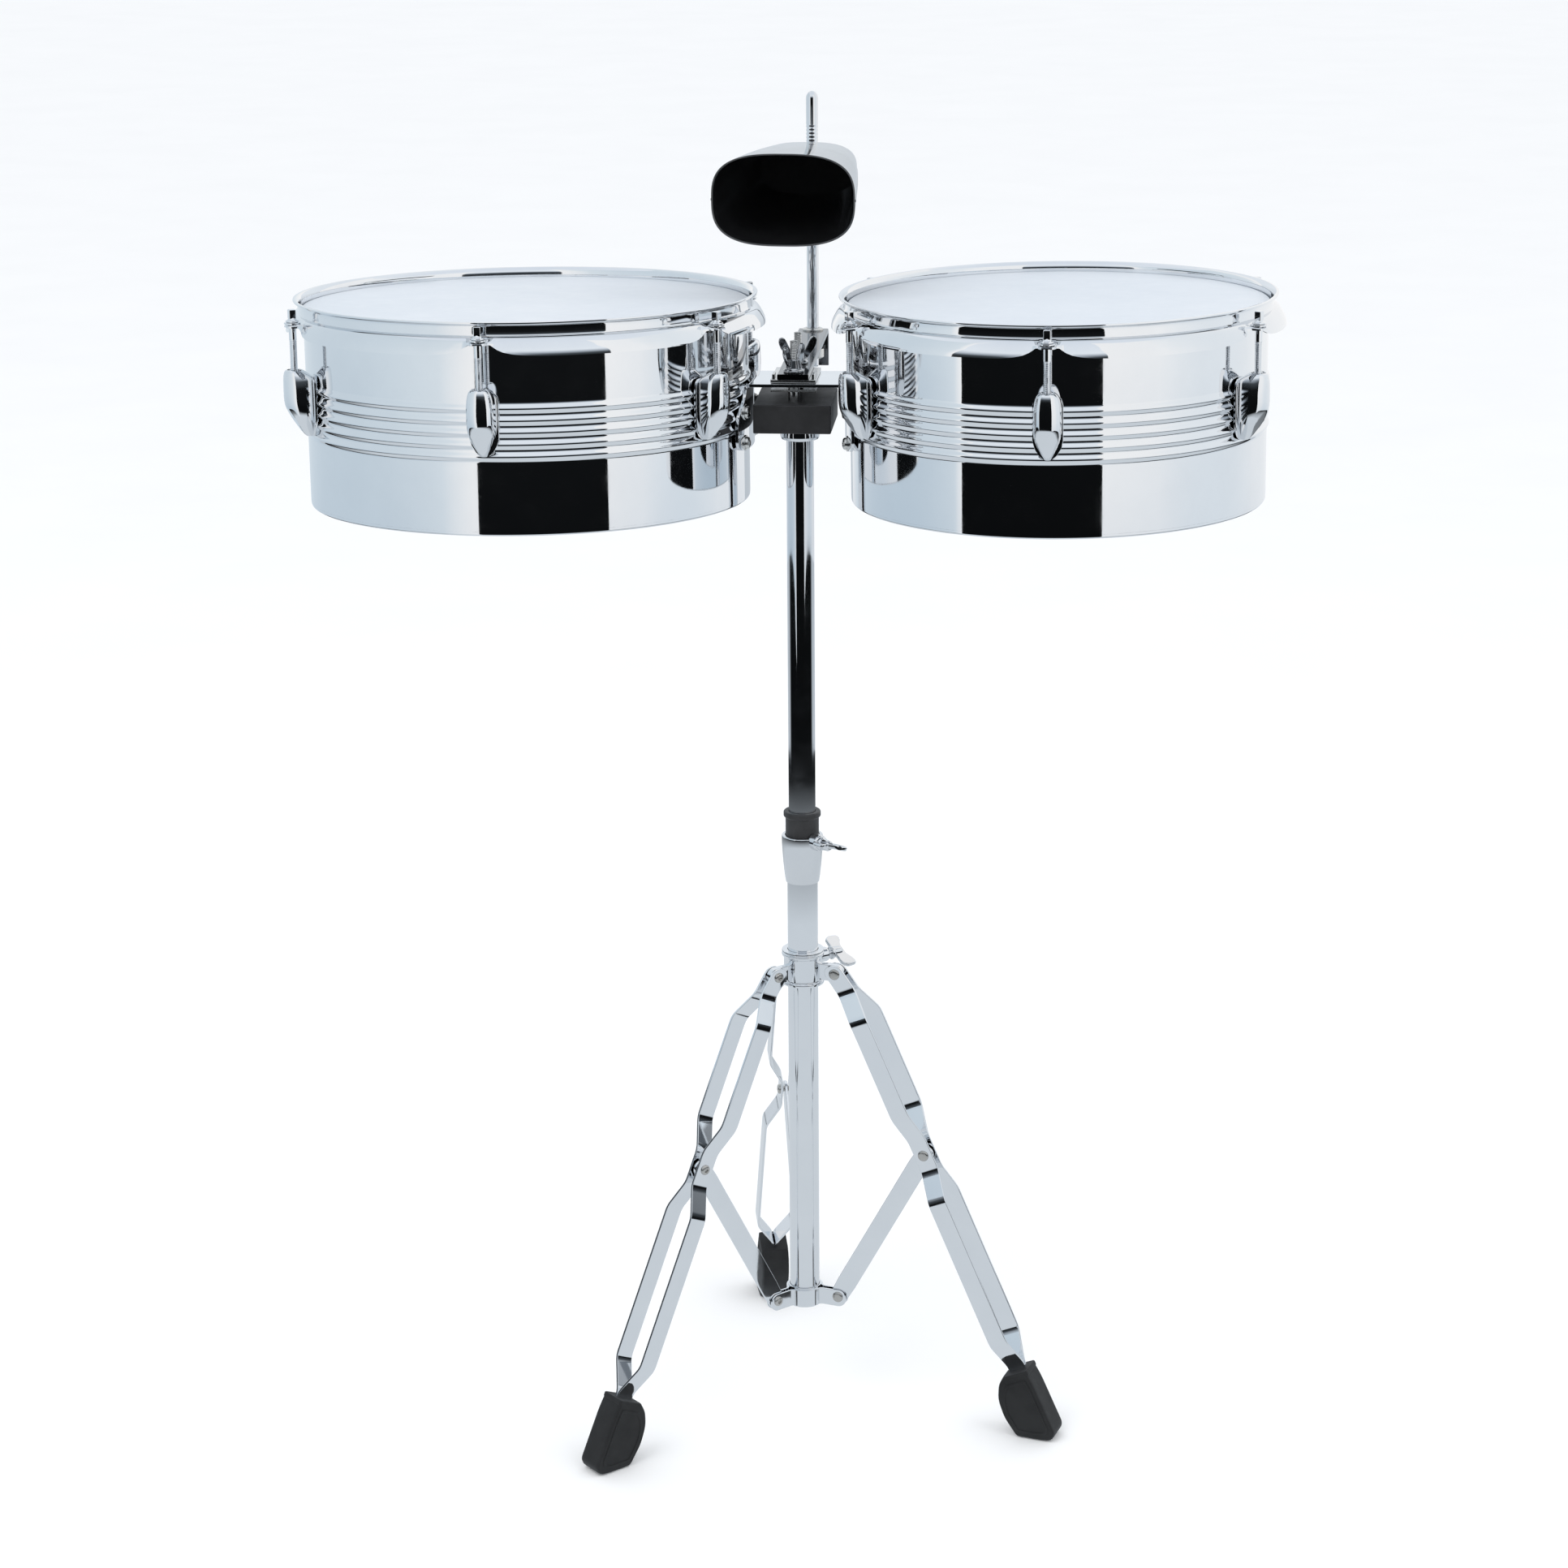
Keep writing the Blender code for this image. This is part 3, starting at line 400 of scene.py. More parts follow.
# ---------------------------------------------------------------- pieces
def piece(name, shape, look, body, nodes=(), place=None, bevel=0.0, sharp=38.0, limit=30.0):
    """Make a piece, round its edges, set its shading and let it ride on a CAD body."""
    points, faces = shape
    mesh = bpy.data.meshes.new(name)
    mesh.from_pydata(points, [], faces)
    solid = bmesh.new()
    solid.from_mesh(mesh)
    bmesh.ops.recalc_face_normals(solid, faces=solid.faces)
    if bevel:
        edges = [edge for edge in solid.edges
                 if len(edge.link_faces) == 2 and math.degrees(edge.calc_face_angle()) > limit]
        bmesh.ops.bevel(solid, geom=edges, offset=bevel, segments=3, profile=0.5, affect="EDGES",
                        clamp_overlap=True)
    solid.to_mesh(mesh)
    solid.free()
    mesh.polygons.foreach_set("use_smooth", [True] * len(mesh.polygons))
    mesh.set_sharp_from_angle(angle=math.radians(sharp))
    mesh.materials.append(look)
    thing = bpy.data.objects.new(name, mesh)
    bpy.context.scene.collection.objects.link(thing)
    thing.matrix_world = STAND @ (place or Matrix.Identity(4))
    weights = thing.modifiers.new("even_normals", "WEIGHTED_NORMAL")
    weights.keep_sharp = True
    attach(thing, body)
    if nodes:
        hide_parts(*nodes)
    return thing


# ---------------------------------------------------------------- drums
def shell_wall(radius, low, high):
    """Profile of the wall from high to low, swelling into five round beads."""
    first, last = BEAD_LEVELS[0] + BEAD_PITCH / 2, BEAD_LEVELS[-1] - BEAD_PITCH / 2
    profile = [(radius, high), (radius, (high + first) / 2)]
    steps = 12 * len(BEAD_LEVELS)
    for index in range(steps + 1):
        z = first + (last - first) * index / steps
        phase = 2 * math.pi * (first - z) / BEAD_PITCH
        profile.append((radius + BEAD_HEIGHT * 0.5 * (1 - math.cos(phase)) ** 1.15 / 2 ** 0.15, z))
    profile += [(radius, (last + low) / 2), (radius, low)]
    return profile


def make_shell(side):
    radius = DRUMS[side]["radius"]
    outer = shell_wall(radius, SHELL_TOP - 0.0010, SHELL_BOTTOM + 0.0032)
    inner = shell_wall(radius - SHELL_WALL, SHELL_TOP - 0.0004, SHELL_BOTTOM + 0.0036)
    rim = [(radius - 0.0012, SHELL_TOP), (radius - 0.0004, SHELL_TOP - 0.0003)]
    roll = rounded([(radius, SHELL_BOTTOM + 0.0030), (radius - 0.0002, SHELL_BOTTOM),
                    (radius - 0.0066, SHELL_BOTTOM - 0.0001), (radius - 0.0066, SHELL_BOTTOM + 0.0012),
                    (radius - 0.0018, SHELL_BOTTOM + 0.0012), (radius - 0.0016, SHELL_BOTTOM + 0.0034)],
                   [0, 0.0026, 0.0006, 0.0006, 0.0014, 0], False, 6)
    profile = rim + outer + roll[1:-1] + inner[::-1]
    piece("drum_shell_" + side, hollow(profile, FINE), CHROME, "mast", ["shell_" + side],
          drum_frame(side), sharp=50)


def make_head(side):
    radius = DRUMS[side]["radius"]
    top = [(radius * share, -0.0075) for share in (0.12, 0.3, 0.5, 0.7, 0.85, 0.95)]
    collar = rounded([(radius - 0.0060, -0.0075), (radius + 0.0013, -0.0077), (radius + 0.0014, -0.0122),
                      (radius + 0.0057, -0.0125), (radius + 0.0057, -0.0175), (radius + 0.0007, -0.0175),
                      (radius + 0.0005, -0.0086), (radius - 0.0004, -0.0080)],
                     [0, 0.0011, 0.0006, 0.0012, 0.0012, 0.0005, 0.0003, 0], False, 4)
    profile = top + collar
    under = [(radius * share, -0.0080) for share in (0.95, 0.7, 0.4, 0.12)]
    piece("drum_head_" + side, turned(profile + under, FINE), FILM, "mast", ["head_" + side],
          drum_frame(side), sharp=50)


HOOP_ANGLES = ([0.15 * k for k in range(17)] + [2.5 + 0.25 * k for k in range(15)]
               + [6.4 + 0.75 * k for k in range(13)] + [16.2 + 1.9 * k for k in range(8)])
SKIRT_REACH = (0.0, 9.0, 11.0, 14.0, 19.0, 26.0, 36.0, 52.0, 100.0)
SKIRT_LEVEL = (-15.8, -16.4, -18.0, -19.9, -21.9, -23.3, -24.3, -24.8, -25.0)
SKIRT_SHAPE = ((-11.2, 7.0), (-12.6, 8.7), (-14.6, 10.2), (-17.2, 11.6), (-19.4, 12.8), (-21.4, 13.6),
               (-23.3, 14.0), (-25.0, 14.1))


def skirt_edge(level):
    """How far outside the shell the flared skirt is at a level below the rim."""
    levels, reaches = zip(*SKIRT_SHAPE[::-1])
    return float(np.interp(level * 1000, levels, reaches)) / 1000


def hoop_section(radius, distance):
    """Hoop cut at a distance in metres along the rim from a tension rod."""
    skirt = float(np.interp(distance * 1000, SKIRT_REACH, SKIRT_LEVEL)) / 1000
    ear = math.sqrt(max(0.0, 1 - (max(distance - 0.0034, 0.0) / 0.0038) ** 2)) if distance < 0.0072 else 0.0
    ear = max(ear, 0.30 * (1 - smooth_step((distance - 0.0060) / 0.0070)))
    levels = [-0.0112 + (skirt + 0.0112) * share for share in (0.0, 0.10, 0.24, 0.40, 0.56, 0.72, 0.87, 1.0)]
    flare = [(skirt_edge(level), level) for level in levels]
    flat = [(0.0072, -0.0113), (0.0086, -0.0131), (0.0110, -0.0137), (0.0150, -0.0139), (0.0185, -0.0140),
            (0.0203, -0.0142), (0.0210, -0.0148), (0.0211, skirt)]
    outer = [(a[0] + ear * (b[0] - a[0]), a[1] + ear * (b[1] - a[1])) for a, b in zip(flare, flat)]
    inner = [(outer[-1][0] - 0.0013 - ear * 0.0080, skirt)]
    for level in (-0.0190, -0.0151, -0.0130):
        level = max(level, skirt + 0.0006)
        inner.append(((skirt_edge(level) - 0.0014) * (1 - ear) + 0.0075 * ear, level))
    lip = [(0.0050, -0.0001), (0.0066, 0.0001), (0.0076, -0.0002), (0.0078, -0.0008), (0.0075, -0.0016),
           (0.0058, -0.0022), (0.0044, -0.0030), (0.0041, -0.0042), (0.0041, -0.0092), (0.0046, -0.0104)]
    under = [(0.0066, -0.0124), (0.0030, -0.0120), (0.0021, -0.0112), (0.0021, -0.0045), (0.0029, -0.0022)]
    return [(radius + r, z) for r, z in lip + outer + inner + under]


def make_hoop(side):
    radius = DRUMS[side]["radius"]
    half = [(angle, hoop_section(radius, math.radians(angle) * (radius + 0.0150))) for angle in HOOP_ANGLES]
    rows = [(-angle, profile) for angle, profile in half[:0:-1]] + half
    sections = []
    for index in range(LUG_COUNT):
        start = LUG_START + index * LUG_STEP
        for angle, profile in rows:
            spot = math.radians(start + angle)
            sections.append([(r * math.cos(spot), r * math.sin(spot), z) for r, z in profile])
    piece("rim_hoop_" + side, skin(sections, wrap=True), CHROME, "mast", ["hoop_" + side],
          drum_frame(side), sharp=42)


def lug_outline(height, count=44):
    """Section of a lug: X away from the shell, Y along it."""
    drop = LUG_TOP - height
    wide = float(np.interp(drop * 1000, (0, 0.6, 2.0, 4.5, 8.0, 14, 26, 31, 36, 41, 46, 50, 52.6),
                           (6.5, 7.2, 8.4, 9.5, 10.3, 10.9, 11.0, 10.8, 9.9, 8.2, 5.9, 3.9, 2.4))) / 1000
    front = float(np.interp(drop * 1000, (0, 0.6, 2.0, 4.5, 8.0, 14, 23, 28, 36, 43, 49, 52.6),
                            (22.1, 22.9, 23.6, 24.1, 24.3, 24.4, 24.4, 23.6, 21.0, 16.4, 11.5, 7.6))) / 1000
    back = 0.0016 + 0.0073 * max(0.0, 1 - drop / 0.0065) ** 1.6
    plane = 0.0243 - 0.00060 * max(0.0, drop * 1000 - 27.0)
    centre = (front + back) / 2
    reach = (front - back) / 2
    power = 2.0 + 1.1 * smooth_step(drop / 0.008)
    outline = []
    for index in range(count):
        angle = 2 * math.pi * index / count
        c, s = math.cos(angle), math.sin(angle)
        bulge = power if c < 0 else 2.25
        x = centre + reach * math.copysign(abs(c) ** (2.0 / bulge), c)
        y = wide * math.copysign(abs(s) ** (2.0 / bulge), s)
        outline.append((min(x, plane), y, height))
    return outline


def make_lug(side, number):
    radius = DRUMS[side]["radius"]
    place = drum_frame(side) @ turn(LUG_START + (number - 1) * LUG_STEP) @ at(radius, 0.0, 0.0)
    hole = [[(ROD_OFFSET + x, y, z) for x, y, z in circle(r, LUG_TOP + dz, 44)]
            for r, dz in ((0.0036, -0.0090), (0.0036, -0.0022), (0.0043, -0.0016), (0.0050, -0.0014),
                          (0.0053, -0.0010), (0.0054, 0.0000), (0.0058, 0.0003), (0.0062, 0.0002))]
    drops = (0.0, 0.0003, 0.0006, 0.0012, 0.0020, 0.0032, 0.0045, 0.0062, 0.0080, 0.0110, 0.0140, 0.0180,
             0.0215, 0.0245, 0.0266, 0.0273, 0.0285, 0.0305, 0.0330, 0.0355, 0.0380, 0.0405, 0.0432, 0.0460,
             0.0485, 0.0505, 0.0520, 0.0526)
    body = skin(hole + [lug_outline(LUG_TOP - drop) for drop in drops])
    rows = []
    for height, half in ((-0.0540, 0.0036), (-0.0548, 0.0078), (-0.0570, 0.0104), (-0.0610, 0.0117),
                         (-0.0880, 0.0117), (-0.0940, 0.0102), (-0.0990, 0.0072), (-0.1022, 0.0036)):
        outline = rounded(rectangle(0.0013, 0.0036, -half, half), 0.0007, True, 3)
        rows.append([(x, y, height) for x, y in outline])
    pad = skin(rows)
    piece("lug_case_{}_{}".format(side, number), together(body, pad), CHROME, "mast",
          ["lug_{}_{}".format(side, number)], place, sharp=24)


def threaded(radius, low, high, pitch, depth, sides=20, per_turn=6):
    """Screw thread as one skin: the radius rises and falls along a helix."""
    rows = max(4, int(per_turn * (high - low) / pitch))
    sections = []
    for row in range(rows + 1):
        z = low + (high - low) * row / rows
        ease = min(1.0, (z - low) / pitch, (high - z) / pitch)
        ring = []
        for spot in range(sides):
            phase = (z / pitch - spot / sides) % 1.0
            ridge = abs(2 * phase - 1)
            r = radius - depth * (1 - ridge) * max(0.0, ease)
            angle = 2 * math.pi * spot / sides
            ring.append((r * math.cos(angle), r * math.sin(angle), z))
        sections.append(ring)
    return skin(sections)


def make_tension_rod(side, number):
    radius = DRUMS[side]["radius"]
    place = (drum_frame(side) @ turn(LUG_START + (number - 1) * LUG_STEP)
             @ at(radius + ROD_OFFSET, 0.0, ROD_ORIGIN))
    collar = rounded([(0.0036, 0.0013), (0.0050, 0.0013), (0.0052, 0.0026), (0.0034, 0.0034),
                      (0.0027, 0.0052)], 0.0006, False, 3)
    washer = hollow(rounded(rectangle(0.0031, 0.0064, 0.0, 0.0012), 0.0003), SMALL)
    half = 0.0028
    base = [(half, -half), (half, half), (-half, half), (-half, -half)]
    outline = rounded(base, 0.0007, True, 4)
    small = rounded([(x * 0.86, y * 0.86) for x, y in base], 0.0007, True, 4)
    head = skin([[(x, y, z) for x, y in shape] for z, shape in
                 ((0.0040, small), (0.0046, outline), (0.0108, outline), (0.0114, small))])
    shank = turned(rounded([(0.0029, -0.0125), (0.0029, 0.0030), (0.0015, 0.0036)], 0.0004, False, 2), SMALL)
    screw = threaded(0.0030, -0.0530, -0.0120, 0.0010, 0.00055)
    flange = turned(collar + [(0.0010, 0.0053)], SMALL)
    name = "{}_{}".format(side, number)
    piece("tuning_rod_" + name, together(flange, washer, head, shank, screw), CHROME,
          "tension_rod_" + name, ["tension_rod_" + name], place, sharp=35)


# ---------------------------------------------------------------- bracket
def ear_width(height):
    """Half width of a bracket ear, as an angle on the larger shell, from its bend down."""
    drop = (-0.0679 - height) * 1000
    return float(np.interp(drop, (-4, 4, 9, 13, 18, 24, 32, 44, 48, 50.5, 52.2, 53.3),
                           (9.5, 9.6, 10.0, 11.0, 13.2, 15.5, 16.5, 16.5, 16.1, 15.2, 13.8, 11.5)))


def bracket_column(side, share, steps):
    """One line of the strap at a share of its half width: bend, then down the shell."""
    drum = DRUMS[side]
    place = drum_frame(side)
    radius = drum["radius"]
    scale = DRUMS["left"]["radius"] / radius
    inside = math.radians(drum["inside"])
    bend = 0.0036
    wall = radius + 0.0030
    points = []

    def spot(distance, angle, height):
        return place @ Vector((distance * math.cos(angle), distance * math.sin(angle), height))

    top_angle = inside + math.radians(9.5 * scale) * share
    flat = spot(wall + bend, top_angle, 0.0)
    level = (STRAP_PLATE_Z - flat.z)
    for step in range(steps + 1):
        around = math.pi / 2 + math.pi / 2 * step / steps
        distance = wall + bend + bend * math.cos(around)
        points.append(spot(distance, top_angle, level - bend + bend * math.sin(around)))
    for row in range(1, 27):
        height = level - bend + (-0.1212 - level + bend) * row / 26
        angle = inside + math.radians(ear_width(height) * scale) * share
        points.append(spot(wall, angle, height))
    return points


def make_bracket():
    shares = [math.sin(math.pi / 2 * k / 9) if abs(k) < 9 else math.copysign(1.0, k) for k in range(-9, 10)]
    grid = []
    for share in shares:
        left = bracket_column("left", share, 6)
        right = bracket_column("right", -share, 6)
        start, end = left[0], right[0]
        plate = [start.lerp(end, step / 8) for step in range(1, 8)]
        grid.append([tuple(point) for point in left[::-1] + plate + right])
    columns, rows = len(grid), len(grid[0])
    points = [point for column in grid for point in column]
    faces = [(c * rows + r, c * rows + r + 1, (c + 1) * rows + r + 1, (c + 1) * rows + r)
             for c in range(columns - 1) for r in range(rows - 1)]
    strap_piece = piece("bracket_strap", (points, faces), CHROME, "mast", ["drum_bracket"])
    sheet = strap_piece.modifiers.new("thickness", "SOLIDIFY")
    sheet.thickness = 0.0025
    sheet.offset = 0.0
    sheet.use_even_offset = True
    soften = strap_piece.modifiers.new("soft_edge", "BEVEL")
    soften.width = 0.0005
    soften.segments = 3
    soften.angle_limit = math.radians(50)
    strap_piece.modifiers.move(0, 2)
    for side in DRUMS:
        make_mount_bolts(side)


def dome_head(radius, height, socket):
    """Round screw head with a round socket, or a plain domed rivet."""
    profile = [(radius, 0.0), (radius, height * 0.25), (radius * 0.93, height * 0.62),
               (radius * 0.74, height * 0.88)]
    if socket:
        inner = radius * 0.42
        profile += [(inner * 1.12, height), (inner, height * 0.92), (inner, height * 0.30),
                    (inner * 0.4, height * 0.22)]
    else:
        profile += [(radius * 0.45, height * 0.98), (radius * 0.12, height)]
    return turned(rounded(profile, 0.0002, False, 2), 36)


def make_mount_bolts(side):
    drum = DRUMS[side]
    radius = drum["radius"] + 0.0043
    scale = DRUMS["left"]["radius"] / drum["radius"]
    number = 0
    for height in (-0.0905, -0.1150):
        for angle in (-11.0 * scale, 11.0 * scale):
            number += 1
            place = drum_frame(side) @ turn(drum["inside"] + angle) @ at(radius, 0, height) @ turn(90, "Y")
            edge = rounded([(0.0062, -0.0002), (0.0062, 0.0008), (0.0040, 0.0010)], 0.0003, False, 2)
            head = moved(dome_head(0.0049, 0.0031, True), at(0, 0, 0.0008))
            piece("mount_bolt_{}_{}".format(side, number), together(turned(edge, SMALL), head), NICKEL,
                  "mast", (), place, sharp=30)


def make_block():
    outline = rounded(rectangle(-0.0310, 0.0310, -0.0405, 0.0405), 0.0018, True, 4)
    shape = prism(outline, BLOCK_Z[0], BLOCK_Z[1])
    piece("bracket_block_body", shape, SATIN_BLACK, "mast", ["bracket_block"],
          at(BLOCK_X, -0.0025, 0.0), bevel=0.0008)
    for place, y in STUD_Y.items():
        collar = turned(rounded([(0.0030, BLOCK_Z[1] - 0.002), (0.0047, BLOCK_Z[1] - 0.002), (0.0047, 0.8960),
                                 (0.0030, 0.8961)], 0.0003, False, 2), SMALL)
        screw = threaded(STUD_R, 0.8950, STUD_TOP - 0.0006, 0.00125, 0.0006, 28)
        tip = turned(rounded([(STUD_R - 0.0006, STUD_TOP - 0.0010), (STUD_R - 0.0007, STUD_TOP - 0.0002),
                              (0.0006, STUD_TOP)], 0.0004, False, 2), SMALL)
        piece("bracket_stud_" + place, together(collar, screw, tip), NICKEL, "mast",
              ["bracket_bolt_" + place], at(BLOCK_X, y, 0.0), sharp=30)
        make_wing_nut("clamp_wing_nut_" + place, "wing_nut_" + place, at(BLOCK_X, y, ARM_Z[1] + 0.0003),
                      65.0 if place == "front" else 20.0)


def serrated_plate():
    """Clamp plate under the strap: rounded corners and a fine toothed front edge."""
    front, back, half = -0.0285, 0.0270, 0.0180
    teeth = 26
    outline = [(half, back), (-half, back)]
    for index in range(teeth * 2 + 1):
        x = -half + 2 * half * index / (teeth * 2)
        outline.append((x, front + (0.0007 if index % 2 else 0.0)))
    return prism(outline, 0.8917, 0.8936)


def make_saddle():
    piece("clamp_plate", serrated_plate(), NICKEL, "mast", (), at(BLOCK_X, 0, 0), bevel=0.0002)
    plate = strap([(-0.0180, 0.90035), (0.0180, 0.90035)], 0.0026, 0.0288, 0.0004)
    tabs = []
    for side in (-1, 1):
        path = rounded([(side * 0.0120, 0.90075), (side * 0.0158, 0.90075), (side * 0.0158, 0.9058)],
                       0.0016, False, 5)
        tabs.append(moved(strap(path, 0.0019, 0.0062, 0.0003), at(0, -0.0215, 0)))
    piece("arm_saddle_plate", together(plate, *tabs), NICKEL, "mast", ["arm_saddle"],
          at(BLOCK_X, 0, 0))


def make_arm():
    back = 0.1945 - 0.00225
    middle = (ARM_Z[0] + ARM_Z[1]) / 2
    path = rounded([(-0.0310, middle), (back, middle), (back, 0.8745)], 0.0052, False, 8)
    bar = moved(strap(path, 0.0045, 0.0125, 0.0009), turn(90.0))
    # The arm bar's chrome carries a painted dark reflection in its base colour.
    piece("cowbell_arm_bar", bar, CHROME_PAINTED_DARK_REFLECTION, "mast", ["cowbell_arm"], at(BLOCK_X, 0, 0))
    grommet = hollow(rounded([(0.0054, 0.9010), (0.0088, 0.9010), (0.0088, 0.9078), (0.0072, 0.9086),
                              (0.0054, 0.9086)], 0.0005), SMALL)
    piece("rod_ferrule", grommet, NICKEL, "mast", (), at(BLOCK_X, ROD_Y, 0))


def wing_shape(flip):
    """One wing of a nut, flared outwards and rounded, as a tapered blade."""
    outline = [(0.0040, 0.0016), (0.0078, 0.0040), (0.0112, 0.0080), (0.0143, 0.0122), (0.0159, 0.0168),
               (0.0157, 0.0200), (0.0138, 0.0213), (0.0113, 0.0207), (0.0092, 0.0172), (0.0072, 0.0128),
               (0.0056, 0.0102), (0.0040, 0.0098)]
    outline = rounded(outline, 0.0030, True, 3)
    sections = []
    for share, y in ((0.90, -0.00155), (0.97, -0.00125), (1.0, -0.0007), (1.0, 0.0007), (0.97, 0.00125),
                     (0.90, 0.00155)):
        sections.append([(flip * (0.0098 + (x - 0.0098) * share), y, 0.0115 + (z - 0.0115) * share)
                         for x, z in outline])
    return skin(sections)


def make_wing_nut(name, body, place, angle):
    bore = STUD_R + 0.0002
    profile = rounded([(bore, 0.0), (0.0084, 0.0), (0.0084, 0.0015), (0.0064, 0.0024), (0.0053, 0.0102),
                       (bore, 0.0104)], [0.0001, 0.0003, 0.0005, 0.0012, 0.0008, 0.0001], True, 4)
    wings = [moved(wing_shape(flip), turn(angle)) for flip in (1, -1)]
    shape = together(hollow(profile, SMALL), *wings)
    piece(name, shape, WING_CHROME, body, [body], place, sharp=34)


def make_eye_bolt():
    ring = hollow(rounded(rectangle(0.0056, 0.0094, -0.0040, 0.0040), 0.0014), SMALL)
    back = turn(-90.0, "X")
    screw = moved(threaded(STUD_R, 0.0080, 0.0328, 0.00125, 0.0006, 28), back)
    piece("rod_eye", together(ring, screw), NICKEL, "mast", ["rod_eye_bolt"],
          at(BLOCK_X, ROD_Y, EYE_Z), sharp=32)
    make_wing_nut("rod_clamp_wing_nut", "rod_wing_nut", at(BLOCK_X, 0.1948, EYE_Z) @ back, 90.0)


# ---------------------------------------------------------------- cowbell
BELL_WALL = 0.0013
BELL_BACK = {"y": -0.0262, "half_width": 0.0408, "half_height": 0.0220}
BELL_MOUTH = {"y": -0.1840, "half_width": 0.0575, "half_height": 0.0365}
BELL_DROP = -0.0055
BELL_SWELL = 0.0009


def bell_outline(half_width, half_height, y, lift, count=96, power=2.9):
    outline = []
    for index in range(count):
        angle = 2 * math.pi * (index + 0.5) / count
        c, s = math.cos(angle), math.sin(angle)
        outline.append((half_width * math.copysign(abs(c) ** (2.0 / power), c), y,
                        half_height * math.copysign(abs(s) ** (2.0 / power), s) + lift))
    return outline


def bell_size(y):
    """Half width, half height and drop of the bell at a distance from its rod."""
    share = (BELL_BACK["y"] - y) / (BELL_BACK["y"] - BELL_MOUTH["y"])
    swell = BELL_SWELL * math.sin(math.pi * share)
    wide, tall = [BELL_BACK[key] + (BELL_MOUTH[key] - BELL_BACK[key]) * share + swell
                  for key in ("half_width", "half_height")]
    return wide, tall, BELL_DROP * share


def make_cowbell():
    place = at(BLOCK_X, ROD_Y, BELL_Z) @ turn(BELL_TURN)
    sections = []
    depths = [-0.0270 - 0.1568 * k / 26 for k in range(27)]
    for y in depths:
        wide, tall, lift = bell_size(y)
        sections.append(bell_outline(wide - BELL_WALL, tall - BELL_WALL, y, lift))
    wide, tall, lift = bell_size(BELL_MOUTH["y"])
    for y, inset in ((-0.18405, 0.0011), (-0.1843, 0.0006), (-0.18405, 0.0001)):
        sections.append(bell_outline(wide - inset, tall - inset, y, lift))
    for y in depths[::-1]:
        wide, tall, lift = bell_size(y)
        sections.append(bell_outline(wide, tall, y, lift))
    for y, inset in ((-0.0262, 0.0002), (-0.0255, 0.0010), (-0.0250, 0.0022), (-0.0248, 0.0036)):
        sections.append(bell_outline(BELL_BACK["half_width"] - inset, BELL_BACK["half_height"] - inset, y, 0.0))
    bell = skin(sections)
    seam = rounded([(-0.0004, -0.0016), (0.0011, -0.0009), (0.0011, 0.0009), (-0.0004, 0.0016)], 0.0005)
    seams = []
    for flip in (-1, 1):
        rows = []
        for y in [-0.0285 - 0.1545 * k / 18 for k in range(19)]:
            wide, tall, lift = bell_size(y)
            rows.append([(flip * (wide - 0.0006 + x), y, lift + z) for x, z in seam])
        seams.append(skin(rows))
    back = turn(-90.0, "X")
    neck = moved(prism(rounded(rectangle(-0.0082, 0.0082, -0.0086, 0.0086), 0.0016), -0.0258, -0.0060), back)
    barrel = hollow(rounded(rectangle(0.0055, 0.0092, -0.0110, 0.0110), 0.0009), 48)
    boss = rounded([(0.0060, 0.0060), (0.0062, 0.0132), (0.0054, 0.0140), (0.0034, 0.0140)], 0.0004, False, 2)
    boss = moved(turned(boss, SMALL), back)
    weld = []
    for k in range(28):
        angle = 2 * math.pi * k / 28
        weld.append((0.0090 * math.copysign(abs(math.cos(angle)) ** 0.6, math.cos(angle)),
                     0.0094 * math.copysign(abs(math.sin(angle)) ** 0.6, math.sin(angle))))
    bead = moved(prism(weld, -0.0262, -0.0243), back)
    piece("cowbell_body", together(bell, *seams, neck, barrel, boss, bead), BELL_BLACK,
          "cowbell", ["cowbell"], place, sharp=34)
    make_wing_bolt("bell_wing_bolt", "cowbell_wing_bolt", place @ back, 0.0058, 0.0146, 0.0340, 30.0)


def make_rod():
    """Rod with a band of crossed knurling above the bell."""
    low, high = ROD_Z
    low_part = rounded([(0.0040, low), (ROD_R, low + 0.0010), (ROD_R, KNURL_Z[0])], 0.0008, False, 3)
    high_part = rounded([(ROD_R, KNURL_Z[1]), (ROD_R, high - 0.0042), (0.0032, high - 0.0010), (0.0009, high)],
                        0.0024, False, 6)
    sides, rows, fade = 48, 66, 6
    knurl = []
    for row in range(rows + 1):
        z = KNURL_Z[0] + (KNURL_Z[1] - KNURL_Z[0]) * row / rows
        ease = min(1.0, row / fade, (rows - row) / fade)
        ring = []
        for spot in range(sides):
            around = 2 * math.pi * spot / sides
            along = 2 * math.pi * z / KNURL_PITCH
            wave = math.sin(along + 2 * around) + math.sin(along - 2 * around)
            r = ROD_R - KNURL_DEPTH * ease * (1 - 0.5 * wave)
            ring.append((r * math.cos(around), r * math.sin(around), z))
        knurl.append(ring)
    lower = [circle(r, z, sides) for r, z in low_part]
    upper = [circle(r, z, sides) for r, z in high_part]
    piece("cowbell_rod_bar", skin(lower + knurl + upper), TUBE_CHROME, "cowbell_rod",
          ["cowbell_rod"], at(BLOCK_X, ROD_Y, 0.0), sharp=45)


# ---------------------------------------------------------------- wing bolts
def blade_outline(length):
    half = length / 2
    return rounded([(-half, 0.0070), (-half + 0.0030, 0.0022), (-0.0070, 0.0022), (0.0070, 0.0022),
                    (half - 0.0030, 0.0022), (half, 0.0070), (half - 0.0012, 0.0152), (half - 0.0066, 0.0150),
                    (0.0062, 0.0114), (-0.0062, 0.0114), (-half + 0.0066, 0.0150), (-half + 0.0012, 0.0152)],
                   0.0040, True, 4)


